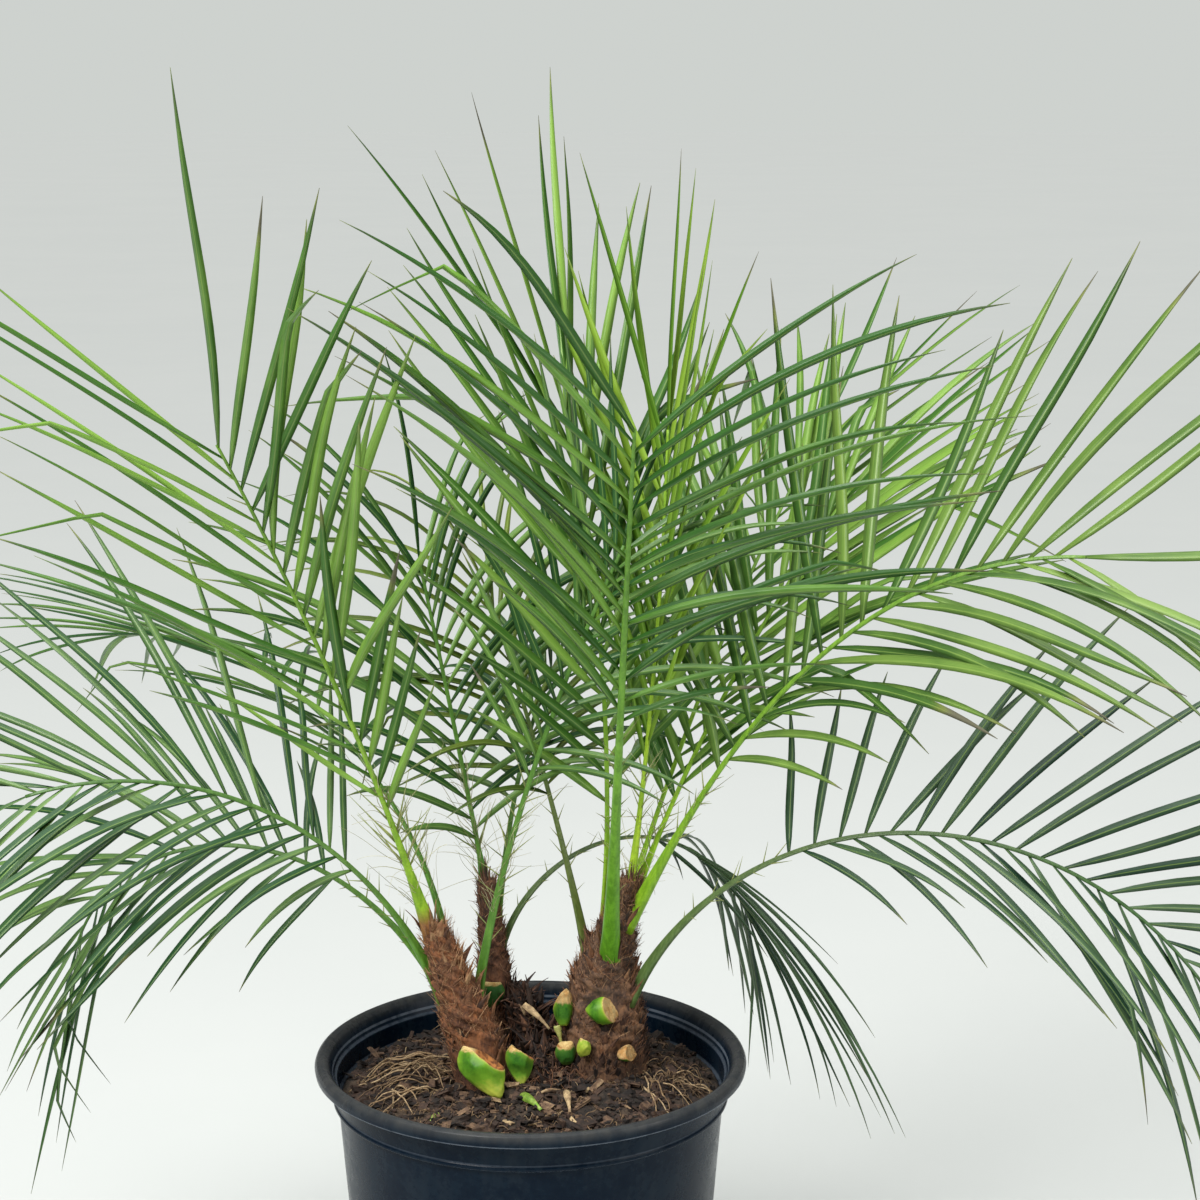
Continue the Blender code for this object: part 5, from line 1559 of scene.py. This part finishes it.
ROOT_TINTS = [(0.0, (0.085, 0.050, 0.026)), (0.5, (0.28, 0.185, 0.095)), (1.0, (0.60, 0.47, 0.28))]
root_finish = tinted_finish("surface_roots", ROOT_TINTS, 0.8, (400.0, 400.0, 400.0), 0.3)
FINE_ROOT = dict(wander=0.24, fan=0.6, rise=(0.0, 0.004), thick=(0.0003, 0.0006), tint=0.20)
LONG_ROOT = dict(wander=0.07, fan=0.28, rise=(0.003, 0.009), thick=(0.0005, 0.0009), tint=0.54)
make_roots("surface_roots", 21, [
    dict(FINE_ROOT, count=44, x=(-0.095, -0.045), y=(-0.070, 0.020), heading=195, reach=(0.015, 0.040)),
    dict(LONG_ROOT, count=19, x=(-0.062, -0.045), y=(-0.045, 0.010), heading=198, reach=(0.038, 0.066)),
    dict(LONG_ROOT, count=8, x=(-0.100, -0.070), y=(-0.040, 0.015), heading=-50, reach=(0.025, 0.050)),
    dict(FINE_ROOT, count=34, x=(0.080, 0.104), y=(-0.030, 0.010), heading=-40, reach=(0.015, 0.035),
         rise=(0.001, 0.010)),
    dict(LONG_ROOT, count=5, x=(0.066, 0.078), y=(-0.030, -0.006), heading=-58, reach=(0.040, 0.060),
         rise=(0.001, 0.004)),
    dict(LONG_ROOT, count=4, x=(0.084, 0.092), y=(-0.020, -0.010), heading=-22, reach=(0.030, 0.045)),
    dict(FINE_ROOT, count=16, x=(-0.020, 0.060), y=(-0.090, -0.060), heading=-40, reach=(0.010, 0.025)),
    dict(FINE_ROOT, count=30, x=(-0.060, 0.060), y=(0.050, 0.090), heading=80, reach=(0.020, 0.050),
         tint=0.55),
], root_finish)
make_roots("mulch_fibres", 22, [
    dict(FINE_ROOT, count=260, x=(-0.100, 0.100), y=(-0.095, 0.060), heading=0, fan=3.0, reach=(0.004, 0.013),
         rise=(0.0, 0.002), thick=(0.0002, 0.0004), tint=0.42)], root_finish)

FIBRE_TINTS = [(0.0, (0.022, 0.014, 0.011)), (0.35, (0.100, 0.048, 0.028)), (0.70, (0.270, 0.125, 0.058)),
               (1.0, (0.50, 0.31, 0.16))]
fibre_finish = tinted_finish("trunk_fibres", FIBRE_TINTS, 0.85, (300.0, 300.0, 80.0), 0.4)
TRUNK_TONES = {
    "left": ("rusty_trunk", (0.085, 0.031, 0.014), (0.370, 0.152, 0.058), (0.090, 0.038, 0.020)),
    "middle": ("brown_trunk", (0.055, 0.026, 0.016), (0.250, 0.115, 0.062), (0.060, 0.033, 0.022)),
    "right": ("dark_trunk", (0.052, 0.028, 0.018), (0.295, 0.158, 0.082), (0.065, 0.038, 0.027)),
}
for side, tones in TRUNK_TONES.items():
    make_trunk(f"stem_{side}", f"trunk_{side}", trunk_finish(*tones))

# Fibres as (trunk, count, seed, lengths, spread, radii, mean and spread of the tint)
for side, count, seed, reach, spread, thick, tints in (
        ("left", 2000, 31, (0.004, 0.013), 0.16, (0.00018, 0.00040), (0.74, 0.23)),
        ("middle", 1700, 32, (0.004, 0.011), 0.24, (0.00018, 0.00042), (0.48, 0.25)),
        ("right", 4000, 33, (0.003, 0.011), 0.24, (0.00018, 0.00042), (0.54, 0.26))):
    make_fibres(f"stem_{side}", f"fibres_{side}", count, seed, fibre_finish, reach, spread, thick, tints)

# Torn sheaths as (trunk, kind, count, seed, lengths, tint, lowest, highest)
for side, kind, count, seed, reach, tint, *heights in (
        ("left", "torn", 60, 41, (0.008, 0.020), 0.62, 0.236, None),
        ("middle", "torn", 50, 42, (0.006, 0.014), 0.40, 0.236, None),
        ("right", "torn", 130, 43, (0.006, 0.015), 0.44, 0.236, 0.325),
        ("left", "low", 36, 61, (0.006, 0.014), 0.40, 0.232, 0.262),
        ("middle", "low", 30, 62, (0.006, 0.014), 0.30, 0.232, 0.262),
        ("right", "low", 110, 63, (0.006, 0.015), 0.34, 0.230, 0.262)):
    make_flaps(f"stem_{side}", f"{kind}_sheaths_{side}", count, seed, fibre_finish, reach, tint, *heights)

for side, fronds, seed, tint in (("left", 5, 44, 0.68), ("middle", 3, 45, 0.45), ("right", 8, 46, 0.46)):
    names = [f"frond_{side}_{k + 1}" for k in range(fronds)]
    make_collars(f"collars_{side}", names, seed, fibre_finish, tint)

make_heap(fibre_finish)
make_roots("heap_fibres", 23, [
    dict(FINE_ROOT, count=130, x=(-0.024, 0.026), y=(-0.034, 0.024), heading=-90, fan=1.4,
         reach=(0.008, 0.026), rise=(0.001, 0.008), thick=(0.00022, 0.00050), tint=0.46)], fibre_finish)
make_dead_sheaths(fibre_finish, 330, 47)

# Offcuts as (start, end, half-width, tint), the heights above the ground
DRY_OFFCUTS = [
    ((-0.0042, -0.0090, 0.031), (0.0125, -0.0150, 0.017), 0.0024, 0.97),
    ((-0.0030, -0.0085, 0.022), (-0.0075, -0.0080, 0.034), 0.0011, 0.85),
    ((0.0010, -0.0040, 0.018), (-0.0025, -0.0040, 0.038), 0.0020, 0.22),
    ((0.0060, 0.0000, 0.016), (0.0075, -0.0010, 0.030), 0.0015, 0.10),
    ((0.0236, -0.0560, 0.006), (0.0262, -0.0800, 0.004), 0.0024, 0.95),
    ((0.0080, -0.0560, 0.003), (0.0200, -0.0500, 0.004), 0.0012, 0.80),
    ((-0.0280, -0.0800, 0.002), (-0.0200, -0.0920, 0.002), 0.0016, 0.75),
    ((0.0540, -0.0560, 0.002), (0.0660, -0.0640, 0.002), 0.0014, 0.70),
]
GREEN_OFFCUTS = [
    ((-0.0047, -0.0586, 0.0055), (0.0082, -0.0772, 0.0040), 0.0032, 0.55),
    ((0.0172, -0.0135, 0.022), (0.0200, -0.0150, 0.014), 0.0026, 0.97),
    ((-0.0560, -0.0690, 0.002), (-0.0610, -0.0790, 0.001), 0.0020, 0.70),
]
make_offcuts("dry_offcuts", DRY_OFFCUTS, chip_finish, 48)
GREEN_TINTS = [(0.0, (0.030, 0.110, 0.010)), (0.5, (0.170, 0.330, 0.030)), (1.0, (0.50, 0.52, 0.16))]
green_finish = tinted_finish("green_offcuts", GREEN_TINTS, 0.5, (300.0, 300.0, 300.0), 0.2)
make_offcuts("green_offcuts", GREEN_OFFCUTS, green_finish, 49)

base_finish = leaf_base_finish()
for number, row in enumerate(LEAF_BASES, start=1):
    make_leaf_base(number, row, base_finish)

# Finishes by tone: two greens of the leaflets, then those of the stalk's foot, upper part and tip
TONES = {
    "young": ((0.050, 0.148, 0.020), (0.220, 0.400, 0.060),
              (0.28, 0.50, 0.020), (0.25, 0.46, 0.034), (0.15, 0.31, 0.034)),
    "fresh": ((0.030, 0.108, 0.014), (0.158, 0.325, 0.042),
              (0.120, 0.340, 0.018), (0.150, 0.350, 0.030), (0.12, 0.27, 0.034)),
    "clear": ((0.047, 0.120, 0.021), (0.190, 0.312, 0.058),
              (0.25, 0.47, 0.022), (0.21, 0.41, 0.036), (0.14, 0.28, 0.040)),
    "mature": ((0.026, 0.094, 0.021), (0.142, 0.280, 0.052),
               (0.090, 0.240, 0.026), (0.110, 0.250, 0.040), (0.09, 0.21, 0.036)),
    "worn": ((0.022, 0.078, 0.024), (0.132, 0.242, 0.068),
             (0.110, 0.290, 0.022), (0.105, 0.220, 0.045), (0.07, 0.16, 0.035)),
    "old": ((0.017, 0.052, 0.026), (0.086, 0.155, 0.070),
            (0.100, 0.168, 0.046), (0.112, 0.168, 0.066), (0.05, 0.12, 0.035)),
    "olive": ((0.055, 0.100, 0.012), (0.150, 0.215, 0.030),
              (0.120, 0.165, 0.036), (0.130, 0.180, 0.045), (0.10, 0.17, 0.040)),
    "lime": ((0.088, 0.215, 0.014), (0.275, 0.455, 0.045),
             (0.34, 0.52, 0.030), (0.36, 0.56, 0.045), (0.24, 0.43, 0.040)),
}
SHEATHS = {"young": (0.34, 0.15, 0.050)}
LEAFLETS = {tone: leaf_finish(f"{tone}_leaflets", *greens[:2]) for tone, greens in TONES.items()}
STALKS = {
    tone: stalk_finish(f"{tone}_stalks", *greens[2:], SHEATHS.get(tone)) for tone, greens in TONES.items()}
spine_finish = stalk_finish("spines", (0.22, 0.30, 0.07), (0.26, 0.33, 0.10), (0.36, 0.33, 0.15))
for number, (name, frond) in enumerate(FRONDS.items(), start=1):
    make_frond(number, name, frond, [LEAFLETS[frond["tone"]], STALKS[frond["tone"]], spine_finish])

THREAD_TINTS = [(0.0, (0.13, 0.13, 0.05)), (0.5, (0.36, 0.36, 0.17)), (1.0, (0.66, 0.64, 0.42))]
thread_finish = tinted_finish("crown_threads", THREAD_TINTS, 0.8, (300.0, 300.0, 300.0), 0.2)
make_threads("crown_threads", 51, thread_finish, [
    (60, "frond_middle_1", (0.00, 0.34), (0.020, 0.062)),
    (26, "frond_left_5", (0.20, 0.50), (0.015, 0.050)),
    (44, "frond_left_1", (0.05, 0.34), (0.020, 0.065)),
    (14, "frond_left_4", (0.10, 0.30), (0.015, 0.045)),
    (26, "frond_right_8", (0.02, 0.26), (0.015, 0.050)),
    (12, "frond_right_6", (0.04, 0.24), (0.015, 0.040)),
    (8, "frond_right_2", (0.10, 0.25), (0.010, 0.030)),
])


# Camera, light and floor

# The camera looks down by its dip in degrees. Lights are (name, kind, place, size or angle, power, aim).
CAMERA_PLACE = (0.0449, -1.587, 0.8505)
CAMERA_DIP = 11.08
FOCAL_LENGTH = 77.29
SENSOR_WIDTH = 36.0
LIGHTS = (
    ("key", "AREA", (-1.2, -1.5, 2.3), 1.0, 64.0, (0.0, 0.0, 0.4)),
    ("fill", "AREA", (1.9, -0.9, 1.3), 1.0, 16.0, (0.0, 0.0, 0.4)),
    ("above", "SUN", (-0.3, -0.1, 3.0), radians(60), 2.9, (0.0, 0.0, 0.0)),
)


def make_stage():
    """A wide pale floor, a pale studio round it, soft lights and the camera."""
    reach = np.linspace(-60.0, 60.0, 7)
    points = np.array([[(x, y, 0.0) for x in reach] for y in reach])
    made, tree, place = new_finish("pale_floor", 0.9, Specular_IOR_Level=0.1)
    soft = mottled(tree, place, 0.9, (0.556, 0.574, 0.554), (0.566, 0.583, 0.562))
    floor = add_piece("floor", points, [grid_faces(7, 7)], [finished(made, soft["Color"])], weld=False)

    scene = bpy.context.scene
    world = bpy.data.worlds.new("studio")
    world.use_nodes = True
    tree = world.node_tree
    lighting = tree.nodes["Background"]
    set_sockets(tree, lighting.inputs, {"Color": (0.94, 0.98, 0.98), "Strength": 0.22})
    seen = add_node(tree, "ShaderNodeBackground", {"Color": (0.616, 0.643, 0.619), "Strength": 1.0})
    ray = add_node(tree, "ShaderNodeLightPath")
    both = add_node(tree, "ShaderNodeMixShader", {
        0: ray.outputs["Is Camera Ray"], 1: lighting.outputs[0], 2: seen.outputs[0]})
    set_socket(tree, tree.nodes["World Output"].inputs["Surface"], both.outputs[0])
    scene.world = world
    scene.view_settings.view_transform = "Standard"
    for name, kind, place, size, power, aim in LIGHTS:
        light = bpy.data.lights.new(name, kind)
        setattr(light, "size" if kind == "AREA" else "angle", size)
        light.energy = power
        lamp = bpy.data.objects.new(name, light)
        lamp.location = place
        lamp.rotation_euler = (Vector(aim) - Vector(place)).to_track_quat("-Z", "Y").to_euler()
        scene.collection.objects.link(lamp)
    lens = bpy.data.cameras.new("camera")
    lens.lens = FOCAL_LENGTH
    lens.sensor_width = SENSOR_WIDTH
    camera = bpy.data.objects.new("camera", lens)
    camera.location = CAMERA_PLACE
    camera.rotation_euler = (radians(90 - CAMERA_DIP), 0.0, 0.0)
    scene.collection.objects.link(camera)
    scene.camera = camera


make_stage()
